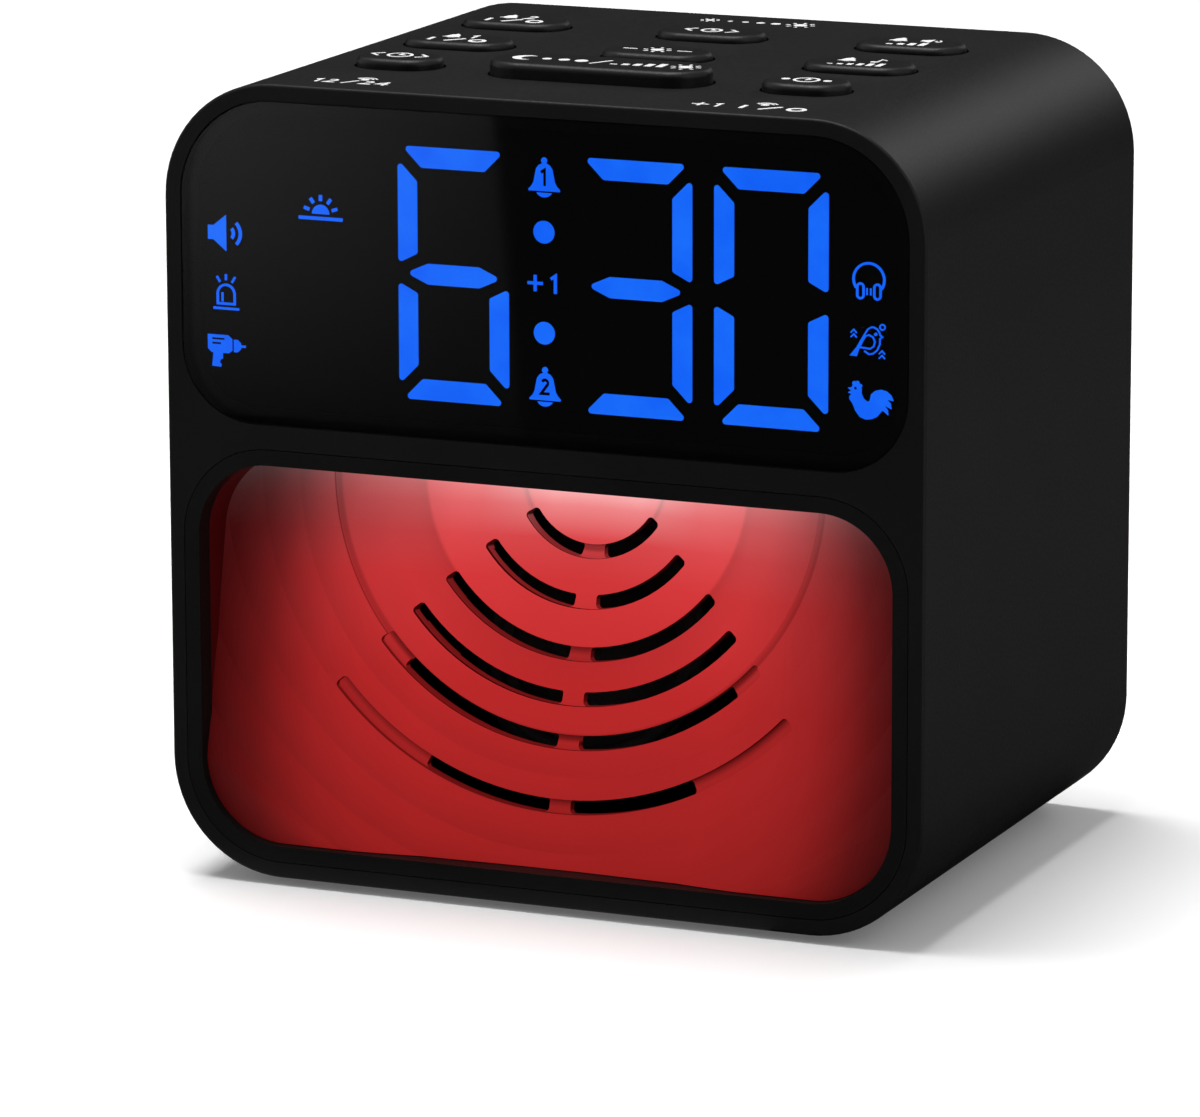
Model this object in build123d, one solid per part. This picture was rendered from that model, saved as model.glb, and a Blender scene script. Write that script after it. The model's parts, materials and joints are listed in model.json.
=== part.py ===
from build123d import *
import math
import os

# A table alarm clock: a rounded-square case with a dark display lens above a lit speaker grille.
# Millimetres. The origin is on the table under the middle of the case. X runs to the right as seen
# from the front, Y runs to the back and Z runs up.

# Clearances
fit_gap = 0.1
running_gap = 0.3
thread_gap = 0.05
glue_gap = 0.05

# Case
body_width = 100.0
body_height = 100.0
body_depth = 75.6
corner_radius = 14.6
wall = 2.0
front_wall = 3.0
edge_round = 0.4

# Feet
foot_radius = 5.0
foot_height = 1.0
foot_recess = 0.8
foot_margin = 5.0

# Rear cover and its screws
cover_thickness = 2.5
rear_lip = 1.0
cover_post_radius = 3.2
cover_post_length = 14.0
cover_post_from_wall = 2.4
cover_screw_radius = 1.25
cover_screw_length = 10.0
cover_head_radius = 2.7
cover_head_height = 1.3

# Display lens
lens_side_border = 2.25
lens_top_border = 2.1
lens_height = 40.3
lens_low_radius = 9.5
lens_thickness = 1.5
lens_ledge = 1.6

# Digits and the block that carries them
display_behind_lens = 0.5
display_block_depth = 8.0
display_block_lip = 0.8
digit_width = 14.7
digit_height = 31.3
digit_pitch = 17.5
digit_drop = 0.2
inner_digit_x = 12.0
segment_width = 2.6
segment_depth = 5.0
flat_segment_end = 0.55
side_segment_end = 1.7
middle_point = 6.35
middle_shoulder = 3.4
side_segment_foot = 1.15
segment_round = 0.4
colon_radius = 1.4
colon_spread = 6.2
chip_width = 1.6
chip_height = 0.8
board_thickness = 1.6

# Small screws on the boards
board_screw_radius = 0.9
board_head_radius = 1.7
board_head_height = 1.2
board_boss_radius = 1.9
display_boss_inset = 8.0
ear_thickness = 2.0
hook_width = 6.0
hook_height = 2.5
hook_thickness = 2.0
hook_x = 20.0

# Trim ring round the light window
web_height = 3.2
trim_width = 1.95
trim_high_radius = 11.4

# Lit dish with the speaker slots
scoop_wall = 1.5
dish_thickness = 2.0
dish_rim_depth = 1.2
dish_back_rim = 1.5
dish_depth = 19.9
dish_centre_drop = 1.7
dish_tilt = 6.5
dish_slope = 0.24
dish_bulge_share = 0.05
inner_rings = (9.5, 21.7, 32.4)
ripple_pitch = 4.7
groove_width = 0.9
groove_depth = 0.4
slot_width = 1.8
slot_radii = (9.75, 15.85, 22.25, 27.65, 33.0, 40.75)
slot_half_angles = (58, 54, 52, 50, 41.5, 26)
slot_groove_half_angles = (58, 54, 52, 50, 49, 47.5)
slot_groove_depth = 0.8
slot_bridge = 2.8
slot_round = 0.55

# Light board
light_count = 5
light_pitch = 6.0
light_length = 3.5
light_width = 2.8
light_height = 1.4
light_board_gap = 0.4
light_board_width = 40.0
light_board_front = 1.4
light_board_depth = 6.0
light_board_thickness = 1.2
light_peg_radius = 1.0
light_peg_inset = 2.5

# Speaker
speaker_radius = 20.0
speaker_lift = 3.4
speaker_gap = 6.0
speaker_flange = 1.2
speaker_flange_width = 3.6
speaker_ring_overhang = 0.5
basket_depth = 11.2
basket_wall = 1.0
basket_foot_radius = 12.2
surround_lip = 1.4
surround_thickness = 0.5
roll_width = 2.0
cone_travel = 0.5
cone_gap = 0.4
cone_depth = 5.0
cone_thickness = 0.6
coil_inner_radius = 6.6
coil_thickness = 0.6
coil_length = 8.0
coil_gap = 0.4
plate_thickness = 2.5
plate_radius = 12.0
magnet_radius = 13.5
magnet_thickness = 5.0
dust_cap_radius = 8.5
dust_cap_rise = 2.5
pleat_count = 6

# Buttons and their switches
button_pitch_x = 27.0
button_pitch_y = 18.0
first_row_from_front = 19.8
button_depth = 8.0
bar_depth = 9.5
small_button = 11.1
button_width = 14.3
bar_width = 28.9
small_rise = 1.3
button_rise = 0.95
bar_rise = 1.95
button_gap = 0.3
button_round = 0.8
flange_lip = 1.2
flange_height = 1.2
stem_radius = 1.6
stem_length = 2.0
switch_size = 6.0
switch_height = 3.5
switch_floor = 1.0
plunger_radius = 1.75
plunger_rise = 0.8
plunger_gap = 0.15
button_travel = 0.5
button_board_margin = 4.5

# Main board and sockets
main_board_width = 68.0
main_board_height = 56.0
main_board_above_holder = 5.0
standoff_length = 9.0
standoff_radius = 2.4
standoff_inset = 4.0
socket_row_rise = 9.0
socket_from_edge = 14.0
socket_recess = 0.4
power_body = 10.0
power_nose_radius = 4.0
power_bore_radius = 2.75
power_bore_depth = 9.0
power_pin_radius = 1.05
power_pin_recess = 1.0
jack_body = 8.0
jack_nose_radius = 3.0
jack_bore_radius = 1.8
jack_bore_depth = 10.0
port_width = 13.1
port_height = 5.7
port_wall = 0.4
port_tongue_width = 11.0
port_tongue_height = 1.8
port_tongue_recess = 1.0
chip_size = 10.0
chip_thickness = 1.4
capacitor_radius = 3.2
capacitor_height = 8.0
capacitor_pitch = 9.0

# Battery bay
door_plate = 1.1
door_tongue = 1.5
door_side = 4.7
door_tail = 4.5
grip_count = 4
grip_pitch = 2.0
grip_width = 0.8
grip_depth = 0.4
cell_radius = 10.0
cell_thickness = 3.2
cell_lift = 0.1
cell_gap = 0.3
holder_land = 3.7
holder_margin = 2.2
holder_roof = 2.2
holder_peg_radius = 1.2
holder_peg_inset = 1.9
contact_thickness = 0.4
contact_width = 4.0

# Flat leads between the boards
lead_thickness = 0.8
lead_bend = 3.0
lead_drop = 12.0
wide_lead = 12.0
narrow_lead = 4.0

# Places that follow from the sizes above
front = -body_depth / 2
back = body_depth / 2
body_bottom = foot_height
body_top = body_bottom + body_height
inner_front = front + front_wall
inner_top = body_top - wall
inner_bottom = body_bottom + wall
cover_inside = back - cover_thickness

lens_half_width = body_width / 2 - lens_side_border
lens_top = body_top - lens_top_border
lens_bottom = lens_top - lens_height
lens_high_radius = corner_radius - lens_side_border
lens_middle = (lens_top + lens_bottom) / 2
digit_middle = lens_middle - digit_drop

trim_border = wall + fit_gap
trim_half_width = body_width / 2 - trim_border
trim_bottom = body_bottom + trim_border
trim_top = lens_bottom - web_height
trim_low_radius = corner_radius - trim_border
window_top = trim_top - trim_width
window_bottom = trim_bottom + trim_width
scoop_top = window_top + scoop_wall

display_face = front + lens_thickness + display_behind_lens
display_board_front = display_face + display_block_depth
display_board_back = display_board_front + board_thickness
display_boss_z = trim_top + board_boss_radius + fit_gap
display_boss_x = (display_boss_inset - lens_half_width, 0, lens_half_width - display_boss_inset)
ear_front = display_board_front - ear_thickness

dish_centre = window_top - dish_centre_drop
dish_origin = (0, front + dish_depth, dish_centre)
dish_axis = (0, -math.cos(math.radians(dish_tilt)), math.sin(math.radians(dish_tilt)))
dish_plane = Plane(origin=dish_origin, x_dir=(1, 0, 0), z_dir=dish_axis)
dish_reach = math.hypot(body_width, body_height)

speaker_tilt = math.radians(dish_tilt) + math.atan(dish_slope)
speaker_axis = Vector(0, -math.cos(speaker_tilt), math.sin(speaker_tilt))
speaker_drop = (dish_centre - window_bottom) / 2 - speaker_lift
speaker_seat = dish_plane.from_local_coords(Vector(0, -speaker_drop, dish_slope * speaker_drop))
speaker_plane = Plane(origin=speaker_seat - speaker_axis * speaker_gap, x_dir=(1, 0, 0), z_dir=speaker_axis)
speaker_opening = speaker_radius - speaker_flange_width
speaker_screw_circle = speaker_opening + speaker_flange_width / 2

light_board_near = display_board_back + board_head_height + light_board_gap
light_y = light_board_near + light_board_front
light_board_top = scoop_top + light_board_thickness

flange_bottom = inner_top - flange_height
plunger_top = flange_bottom - stem_length
switch_top = plunger_top - plunger_rise
button_board_top = switch_top - switch_height
button_board_bottom = button_board_top - board_thickness
button_rows = [front + first_row_from_front + row * button_pitch_y for row in range(3)]
button_boss_places = [
    (x * button_pitch_x / 2, row + button_pitch_y / 2) for x in (-1, 1) for row in button_rows[:2]
]

door_width = 2 * (cell_radius + cell_gap + door_side)
tongue_bottom = body_bottom + door_plate
tongue_top = inner_bottom - fit_gap
cell_bottom = inner_bottom + cell_lift
cell_top = cell_bottom + cell_thickness
contact_slot = contact_thickness + fit_gap
holder_top = cell_top + contact_slot + holder_roof
holder_half_width = door_width / 2 + door_tongue + running_gap + holder_land
holder_half_depth = cell_radius + cell_gap + holder_margin
holder_peg_x = holder_half_width - holder_peg_inset
door_length = 2 * holder_half_depth + cover_thickness + door_tail
door_front = back - door_length
cell_y = door_front + running_gap + holder_half_depth

main_board_bottom = holder_top + main_board_above_holder
main_board_top = main_board_bottom + main_board_height
main_board_back = cover_inside - standoff_length
main_board_front = main_board_back - board_thickness
standoff_x = main_board_width / 2 - standoff_inset
standoff_places = [
    (x * standoff_x, z)
    for x in (-1, 1)
    for z in (main_board_bottom + standoff_inset, main_board_top - standoff_inset)
]
socket_pitch = main_board_width / 2 - socket_from_edge
socket_z = main_board_bottom + socket_row_rise
socket_end = back - socket_recess

cover_post_reach = (corner_radius - wall - cover_post_from_wall) / math.sqrt(2)
cover_post_x = body_width / 2 - corner_radius + cover_post_reach
cover_post_z = body_height / 2 - corner_radius + cover_post_reach
cover_post_places = [
    (x * cover_post_x, (body_bottom + body_top) / 2 + z * cover_post_z) for x in (-1, 1) for z in (-1, 1)
]

foot_x = body_width / 2 - corner_radius - foot_radius
foot_y = body_depth / 2 - foot_radius - foot_margin
foot_places = [(x * foot_x, y * foot_y) for x in (-1, 1) for y in (-1, 1)]

# Each button: its column, its row counted from the front, its width, depth and rise
buttons = {
    "hour": (-1, 0, small_button, button_depth, small_rise),
    "snooze": (0, 0, bar_width, bar_depth, bar_rise),
    "minute": (1, 0, small_button, button_depth, small_rise),
    "alarm_one": (-1, 1, button_width, button_depth, button_rise),
    "light": (0, 1, button_width, button_depth, button_rise),
    "sound": (1, 1, button_width, button_depth, button_rise),
    "alarm_two": (-1, 2, button_width, button_depth, button_rise),
    "time_set": (0, 2, button_width, button_depth, button_rise),
    "volume": (1, 2, button_width, button_depth, button_rise),
}

# The time on show, and the segments that light up for each figure
lit_for_figure = {"6": "afgecd", "3": "abgcd", "0": "abcdef", " ": ""}
shown = {
    -inner_digit_x - digit_pitch: " ",
    -inner_digit_x: "6",
    inner_digit_x: "3",
    inner_digit_x + digit_pitch: "0",
}


def outline(half_width, low, high, low_radius, high_radius):
    """A rectangle in X and Z whose lower and upper corners have their own radii."""
    shape = Pos(0, (low + high) / 2) * Rectangle(2 * half_width, high - low)
    shape = fillet(shape.vertices().group_by(Axis.Y)[0], low_radius)
    return fillet(shape.vertices().group_by(Axis.Y)[-1], high_radius)


def case_outline(inset):
    """The case seen from the front, drawn in by inset."""
    radius = corner_radius - inset
    return outline(body_width / 2 - inset, body_bottom + inset, body_top - inset, radius, radius)


def lens_outline(inset):
    """The display lens seen from the front, drawn in by inset."""
    low_radius = lens_low_radius - inset
    high_radius = lens_high_radius - inset
    return outline(lens_half_width - inset, lens_bottom + inset, lens_top - inset, low_radius, high_radius)


def trim_outline(inset):
    """The trim ring's outer edge seen from the front, drawn in by inset."""
    low_radius = trim_low_radius - inset
    high_radius = trim_high_radius - inset
    return outline(trim_half_width - inset, trim_bottom + inset, trim_top - inset, low_radius, high_radius)


def slab(shape, near, far):
    """An outline in X and Z, given depth from y = near back to y = far."""
    return extrude(Plane.XZ.offset(-far) * shape, amount=far - near)


def block(x0, x1, y0, y1, z0, z1):
    """A box between two corners."""
    return Pos((x0 + x1) / 2, (y0 + y1) / 2, (z0 + z1) / 2) * Box(x1 - x0, y1 - y0, z1 - z0)


def rod(x, z, radius, near, far):
    """A cylinder along Y."""
    return Pos(x, (near + far) / 2, z) * Rot(90, 0, 0) * Cylinder(radius, far - near)


def post(x, y, radius, low, high):
    """A cylinder along Z."""
    return Pos(x, y, (low + high) / 2) * Cylinder(radius, high - low)


def stadium(x, y, width, depth, low, high):
    """An upright solid with straight sides and round ends."""
    return Pos(x, y, low) * extrude(SlotOverall(width, depth), amount=high - low)


def turned(points):
    """A solid of revolution about Z, from points given as radius and height."""
    return revolve(make_face(Plane.XZ * Polyline(*points, close=True)), Axis.Z)


def group(pieces):
    """Separate solids kept together in one node."""
    return Compound([solid for piece in pieces for solid in piece.solids()])


def screw(radius, length, head_radius, head_height):
    """A pan-head screw with a cross recess, its head's seat at z = 0 and its tip below."""
    head = Pos(0, 0, head_height / 2) * Cylinder(head_radius, head_height)
    cross = Box(head_radius, head_radius / 4, head_height) + Box(head_radius / 4, head_radius, head_height)
    shank = Pos(0, 0, -length / 2) * Cylinder(radius, length)
    return head - Pos(0, 0, head_height) * cross + shank


def facing(direction, x, y, z):
    """A plane at a point, facing along a direction, for placing a screw."""
    return Plane(origin=(x, y, z), x_dir=(1, 0, 0), z_dir=direction)


def board_screw(length):
    return screw(board_screw_radius, length, board_head_radius, board_head_height)


def button_place(name):
    column, row = buttons[name][:2]
    return column * button_pitch_x, button_rows[row]


# Case

def battery_bay_space():
    """The step-sided opening in the floor that the battery door slides in."""
    half = door_width / 2 + running_gap
    near = door_front - running_gap
    lower = block(-half, half, near, back, body_bottom, tongue_bottom)
    half += door_tongue
    return lower + block(-half, half, near, back, tongue_bottom, inner_bottom)


def add_inner_bosses(shell):
    """Posts for the cover, boards and battery holder, and the hooks behind the display board."""
    for x, z in cover_post_places:
        shell += rod(x, z, cover_post_radius, cover_inside - cover_post_length, cover_inside)
    for x, y in button_boss_places:
        shell += post(x, y, board_boss_radius, button_board_top, inner_top)
    for x in display_boss_x:
        shell += rod(x, display_boss_z, board_boss_radius, inner_front, ear_front)
    for side in (-1, 1):
        peg_top = holder_top + running_gap
        shell += post(side * holder_peg_x, cell_y, holder_peg_radius, inner_bottom, peg_top)
        left = side * hook_x - hook_width / 2
        near = display_board_back + fit_gap
        low = inner_top - hook_height
        shell += block(left, left + hook_width, near, near + hook_thickness, low, inner_top)
    return shell


def cut_pilot_holes(shell):
    cover_hole = cover_screw_radius + thread_gap
    board_hole = board_screw_radius + thread_gap
    for x, z in cover_post_places:
        shell -= rod(x, z, cover_hole, cover_inside - cover_screw_length, cover_inside)
    for x, y in button_boss_places:
        shell -= post(x, y, board_hole, button_board_top, inner_top)
    for x in display_boss_x:
        shell -= rod(x, display_boss_z, board_hole, inner_front, ear_front)
    return shell


def make_housing_shell():
    shell = slab(case_outline(0), front, back)
    faces = shell.edges().group_by(Axis.Y)
    shell = fillet(faces[0] + faces[-1], edge_round)
    shell -= slab(case_outline(wall), inner_front, back)
    shell -= slab(case_outline(rear_lip), cover_inside, back)
    shell -= slab(lens_outline(-fit_gap), front, front + lens_thickness)
    shell -= slab(lens_outline(lens_ledge), front, inner_front)
    shell -= slab(trim_outline(-fit_gap), front, inner_front)
    for name, (column, row, width, depth, rise) in buttons.items():
        x, y = button_place(name)
        shell -= stadium(x, y, width + 2 * button_gap, depth + 2 * button_gap, inner_top, body_top)
    for x, y in foot_places:
        shell -= post(x, y, foot_radius + fit_gap, body_bottom, body_bottom + foot_recess)
    shell -= battery_bay_space()
    shell = add_inner_bosses(shell)
    return cut_pilot_holes(shell)


def make_rubber_feet():
    feet = []
    for x, y in foot_places:
        foot = post(x, y, foot_radius, 0, body_bottom + foot_recess)
        feet.append(fillet(foot.edges().group_by(Axis.Z)[0], edge_round / 2))
    return group(feet)


def make_rear_cover():
    cover = slab(case_outline(rear_lip + fit_gap), cover_inside, back)
    half = door_width / 2 + door_tongue + running_gap
    cover -= block(-half, half, cover_inside, back, body_bottom, inner_bottom + running_gap)
    seat = back - cover_head_height - running_gap
    for x, z in cover_post_places:
        cover -= rod(x, z, cover_screw_radius + running_gap, cover_inside, back)
        cover -= rod(x, z, cover_head_radius + running_gap, seat, back)
    for x, z in standoff_places:
        cover += rod(x, z, standoff_radius, main_board_back, cover_inside)
        cover -= rod(x, z, board_screw_radius + thread_gap, main_board_back, cover_inside)
    cover -= rod(-socket_pitch, socket_z, power_nose_radius + fit_gap, cover_inside, back)
    cover -= rod(0, socket_z, jack_nose_radius + fit_gap, cover_inside, back)
    half_width = port_width / 2 + fit_gap
    half_height = port_height / 2 + fit_gap
    x0 = socket_pitch - half_width
    x1 = socket_pitch + half_width
    return cover - block(x0, x1, cover_inside, back, socket_z - half_height, socket_z + half_height)


def make_rear_cover_screws():
    seat = back - cover_head_height - running_gap
    length = cover_screw_length - thread_gap + seat - cover_inside
    driver = screw(cover_screw_radius, length, cover_head_radius, cover_head_height)
    return group([facing((0, 1, 0), x, seat, z) * driver for x, z in cover_post_places])


# Display

def segment_shapes():
    """The seven segments of a figure about its centre, each as corner points in X and Z."""
    w = digit_width / 2
    h = digit_height / 2
    t = segment_width
    flat = [(-w + flat_segment_end, h), (w - flat_segment_end, h)]
    flat += [(w - flat_segment_end - t, h - t), (-w + flat_segment_end + t, h - t)]
    side = [(w, side_segment_foot), (w, h - side_segment_end)]
    side += [(w - t, h - side_segment_end - t), (w - t, side_segment_foot + t / 2)]
    middle = [(-middle_point, 0), (-middle_shoulder, t / 2), (middle_shoulder, t / 2)]
    middle += [(middle_point, 0), (middle_shoulder, -t / 2), (-middle_shoulder, -t / 2)]
    return {
        "a": flat,
        "b": side,
        "c": [(x, -z) for x, z in side],
        "d": [(x, -z) for x, z in flat],
        "e": [(-x, -z) for x, z in side],
        "f": [(-x, z) for x, z in side],
        "g": middle,
    }


def segment_faces(lit):
    """The faces of all segments that are lit, or of all that are dark, and their centres."""
    faces = []
    for x, figure in shown.items():
        for letter, points in segment_shapes().items():
            if (letter in lit_for_figure[figure]) == lit:
                face = make_face(Polyline(*points, close=True))
                faces.append(Pos(x, digit_middle) * fillet(face.vertices(), segment_round))
    if lit:
        for side in (-1, 1):
            faces.append(Pos(0, digit_middle + side * colon_spread) * Circle(colon_radius))
    return faces


def make_display_lens():
    lens = slab(lens_outline(0), front, front + lens_thickness - glue_gap)
    return chamfer(lens.edges().group_by(Axis.Y)[0], fit_gap)


def make_display_block():
    carrier = slab(lens_outline(lens_ledge + fit_gap), display_face, display_board_front)
    carrier += slab(lens_outline(lens_ledge - display_block_lip), inner_front, display_board_front)
    for face in segment_faces(True) + segment_faces(False):
        carrier -= slab(face, display_face, display_board_front)
    return carrier


def make_segments(lit):
    return group([slab(face, display_face, display_face + segment_depth) for face in segment_faces(lit)])


def make_display_leds():
    leds = []
    for face in segment_faces(True) + segment_faces(False):
        x, z = face.center().X, face.center().Y
        chip = Pos(x, z) * Rectangle(chip_height, chip_height)
        leds.append(slab(chip, display_board_front - chip_width / 2, display_board_front))
    return group(leds)


def make_display_board():
    board = slab(lens_outline(lens_ledge - display_block_lip), display_board_front, display_board_back)
    half = lens_half_width - lens_low_radius
    low = display_boss_z - board_head_radius - fit_gap
    board += block(-half, half, display_board_front, display_board_back, low, lens_middle)
    for x in display_boss_x:
        reach = board_head_radius + fit_gap
        board += block(x - reach, x + reach, display_board_front, display_board_back, low, lens_middle)
        board -= rod(x, display_boss_z, board_screw_radius + fit_gap, display_board_front, display_board_back)
    return board


def make_display_board_screws():
    driver = board_screw(display_board_back - inner_front - running_gap)
    return group([facing((0, 1, 0), x, display_board_back, display_boss_z) * driver for x in display_boss_x])


# Light window

def make_window_trim():
    return slab(trim_outline(0), front, inner_front) - slab(trim_outline(trim_width), front, inner_front)


def ring_radii():
    """Where the dish's terraces and ripples meet, out to the window's furthest corner."""
    radii = [0, *inner_rings]
    while radii[-1] < dish_reach:
        radii.append(radii[-1] + ripple_pitch)
    return radii


def space_before_dish(shift):
    """All space in front of the rippled dish, with the dish moved back by shift."""
    radii = ring_radii()
    curves = []
    for inner, outer in zip(radii, radii[1:]):
        middle = (inner + outer) / 2
        bulge = dish_bulge_share * (outer - inner)
        start = (inner, inner * dish_slope)
        end = (outer, outer * dish_slope)
        curves.append(ThreePointArc(start, (middle, middle * dish_slope + bulge), end))
    rim = (radii[-1], radii[-1] * dish_slope)
    far = (radii[-1], dish_reach)
    curves.append(Polyline(rim, far, (0, dish_reach), (0, 0)))
    space = revolve(make_face(Plane.XZ * Curve(curves)), Axis.Z)
    return dish_plane * Pos(0, 0, -shift) * space


def arc_prism(radius, begin, end):
    """A bar bent along an arc, square to the dish's axis. Its angles run to the right from straight down."""
    outer = CenterArc((0, 0), radius + slot_width / 2, begin - 90, end - begin)
    inner = CenterArc((0, 0), radius - slot_width / 2, begin - 90, end - begin)
    face = make_face([outer, Line(outer @ 1, inner @ 1), inner, Line(inner @ 0, outer @ 0)])
    depth = 2 * dish_thickness
    prism = extrude(fillet(face.vertices(), slot_round), amount=2 * depth)
    return dish_plane * Pos(0, 0, radius * dish_slope - depth) * prism


def speaker_ring():
    """The round seat behind the dish that the speaker is screwed to."""
    ring = Cylinder(speaker_radius + speaker_ring_overhang, 2 * speaker_radius)
    ring -= Cylinder(speaker_opening, 2 * speaker_radius)
    depth = speaker_gap - dish_thickness
    pilot = Cylinder(board_screw_radius + thread_gap, depth)
    for corner in PolarLocations(speaker_screw_circle, 4, start_angle=45):
        ring -= corner * Pos(0, 0, -speaker_radius + depth / 2) * pilot
    return speaker_plane * Pos(0, 0, speaker_radius) * ring


def make_light_reflector():
    far = inner_front + dish_depth + dish_thickness
    before = space_before_dish(0)
    behind = space_before_dish(dish_thickness)
    tube = slab(trim_outline(trim_width - scoop_wall), inner_front, far)
    rim = slab(trim_outline(trim_width - scoop_wall), inner_front, inner_front + dish_back_rim)
    plug = slab(trim_outline(trim_width + fit_gap), front + dish_rim_depth, inner_front)
    scoop = (tube & behind) + rim + plug
    below_roof = slab(trim_outline(trim_width - scoop_wall), inner_front, cover_inside)
    scoop += (speaker_ring() & below_roof) - space_before_dish(dish_thickness / 2)
    window = slab(trim_outline(trim_width), front, far)
    scoop -= window & before
    scoop -= slab(trim_outline(trim_width), front, front + dish_rim_depth)
    shallow = space_before_dish(slot_groove_depth)
    for radius, half_angle, groove_angle in zip(slot_radii, slot_half_angles, slot_groove_half_angles):
        bridge_angle = math.degrees(slot_bridge / 2 / radius)
        scoop -= arc_prism(radius, -half_angle, -bridge_angle) & window
        scoop -= arc_prism(radius, bridge_angle, half_angle) & window
        scoop -= arc_prism(radius, -groove_angle, groove_angle) & shallow
    radius = inner_rings[-1]
    ring = Cylinder(radius + groove_width / 2, dish_reach) - Cylinder(radius - groove_width / 2, dish_reach)
    scoop -= dish_plane * ring & space_before_dish(groove_depth) & window
    for x in display_boss_x:
        reach = board_boss_radius
        high = display_boss_z + reach
        scoop += block(x - reach, x + reach, ear_front, display_board_front, window_top, high)
        scoop -= rod(x, display_boss_z, board_screw_radius + fit_gap, ear_front, display_board_front)
    half = (light_count - 1) * light_pitch / 2 + light_length / 2 + running_gap
    near = light_y - light_width / 2 - running_gap
    scoop -= block(-half, half, near, light_y + light_width / 2 + running_gap, window_top, scoop_top)
    for side in (-1, 1):
        peg_x = side * (light_board_width / 2 - light_peg_inset)
        scoop += post(peg_x, light_y, light_peg_radius, window_top, light_board_top + running_gap)
    return scoop


def make_light_board():
    half = light_board_width / 2
    far = light_board_near + light_board_depth
    board = block(-half, half, light_board_near, far, scoop_top, light_board_top)
    for side in (-1, 1):
        peg_x = side * (half - light_peg_inset)
        board -= post(peg_x, light_y, light_peg_radius + fit_gap, scoop_top, light_board_top)
    return board


def make_light_leds():
    leds = []
    for step in range(light_count):
        x0 = (step - (light_count - 1) / 2) * light_pitch - light_length / 2
        near = light_y - light_width / 2
        low = scoop_top - light_height
        leds.append(block(x0, x0 + light_length, near, near + light_width, low, scoop_top))
    return group(leds)


# Speaker, drawn about its own axis with the flange's front at height 0

ledge_radius = speaker_opening - surround_lip
cone_rim = ledge_radius - roll_width
cone_neck = coil_inner_radius + coil_thickness + thread_gap
cone_rim_z = -surround_thickness - cone_travel - cone_gap
cone_low = cone_rim_z - cone_depth
coil_top = cone_low + cone_thickness
plate_top = -basket_depth
plate_bottom = plate_top - plate_thickness
magnet_bottom = plate_bottom - magnet_thickness
yoke_bottom = magnet_bottom - plate_thickness
pole_radius = coil_inner_radius - coil_gap
plate_bore = coil_inner_radius + coil_thickness + coil_gap
basket_floor = plate_top + basket_wall


def make_speaker_basket():
    """The pressed frame, with a step in its flange for the surround's lip."""
    basket = turned([
        (speaker_opening, 0),
        (speaker_radius, 0),
        (speaker_radius, -speaker_flange),
        (speaker_opening, -speaker_flange),
        (basket_foot_radius, plate_top),
        (plate_bore, plate_top),
        (plate_bore, basket_floor),
        (basket_foot_radius - basket_wall, basket_floor),
        (ledge_radius, -speaker_flange),
        (ledge_radius, -surround_thickness),
        (speaker_opening, -surround_thickness),
    ])
    hole = Cylinder(board_screw_radius + fit_gap, 4 * speaker_flange)
    for corner in PolarLocations(speaker_screw_circle, 4, start_angle=45):
        basket -= corner * hole
    return speaker_plane * basket


def make_speaker_top_plate():
    points = [(plate_bore, plate_bottom), (plate_radius, plate_bottom)]
    points += [(plate_radius, plate_top), (plate_bore, plate_top)]
    return speaker_plane * turned(points)


def make_speaker_magnet():
    bore = plate_bore + coil_thickness
    points = [(bore, magnet_bottom), (magnet_radius, magnet_bottom)]
    points += [(magnet_radius, plate_bottom), (bore, plate_bottom)]
    return speaker_plane * turned(points)


def make_speaker_yoke():
    points = [(0, yoke_bottom), (plate_radius, yoke_bottom), (plate_radius, magnet_bottom)]
    points += [(pole_radius, magnet_bottom), (pole_radius, plate_top), (0, plate_top)]
    return speaker_plane * turned(points)


def make_speaker_surround():
    """The rolled rubber edge, from its lip on the basket's ledge to its lip over the cone's rim."""
    base = -surround_thickness
    top = 0
    outer = speaker_opening - fit_gap
    inner = cone_rim - surround_lip
    middle = (ledge_radius + cone_rim) / 2
    roll = (ledge_radius - cone_rim) / 2
    upper = ThreePointArc((ledge_radius, top), (middle, top + roll), (cone_rim, top))
    lower = ThreePointArc((cone_rim, base), (middle, base + roll), (ledge_radius, base))
    edges = [upper, Polyline((cone_rim, top), (inner, top), (inner, base), (cone_rim, base)), lower]
    edges.append(Polyline((ledge_radius, base), (outer, base), (outer, top), (ledge_radius, top)))
    return speaker_plane * revolve(make_face(Plane.XZ * Curve(edges)), Axis.Z)


def make_speaker_spider():
    """The pleated cloth ring that centres the coil."""
    inner = plate_bore
    outer = basket_foot_radius - basket_wall - running_gap
    rise = surround_thickness
    lower = []
    for step in range(pleat_count + 1):
        radius = outer + (inner - outer) * step / pleat_count
        lower.append((radius, basket_floor + rise * (step % 2)))
    upper = [(radius, height + rise) for radius, height in reversed(lower)]
    return speaker_plane * turned(lower + upper)


def make_speaker_cone():
    points = [(cone_neck, cone_low), (cone_rim, cone_rim_z), (cone_rim, cone_rim_z - cone_thickness)]
    points.append((cone_neck, cone_low - cone_thickness))
    return speaker_plane * turned(points)


def make_voice_coil():
    outer = coil_inner_radius + coil_thickness
    low = coil_top - coil_length
    points = [(coil_inner_radius, low), (outer, low), (outer, coil_top), (coil_inner_radius, coil_top)]
    return speaker_plane * turned(points)


def dome(radius, rise):
    """A solid spherical cap standing on height 0."""
    ball = (radius ** 2 + rise ** 2) / (2 * rise)
    upper_half = Pos(0, 0, ball) * Box(2 * ball, 2 * ball, 2 * ball)
    return Pos(0, 0, rise - ball) * Sphere(ball) & upper_half


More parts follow.
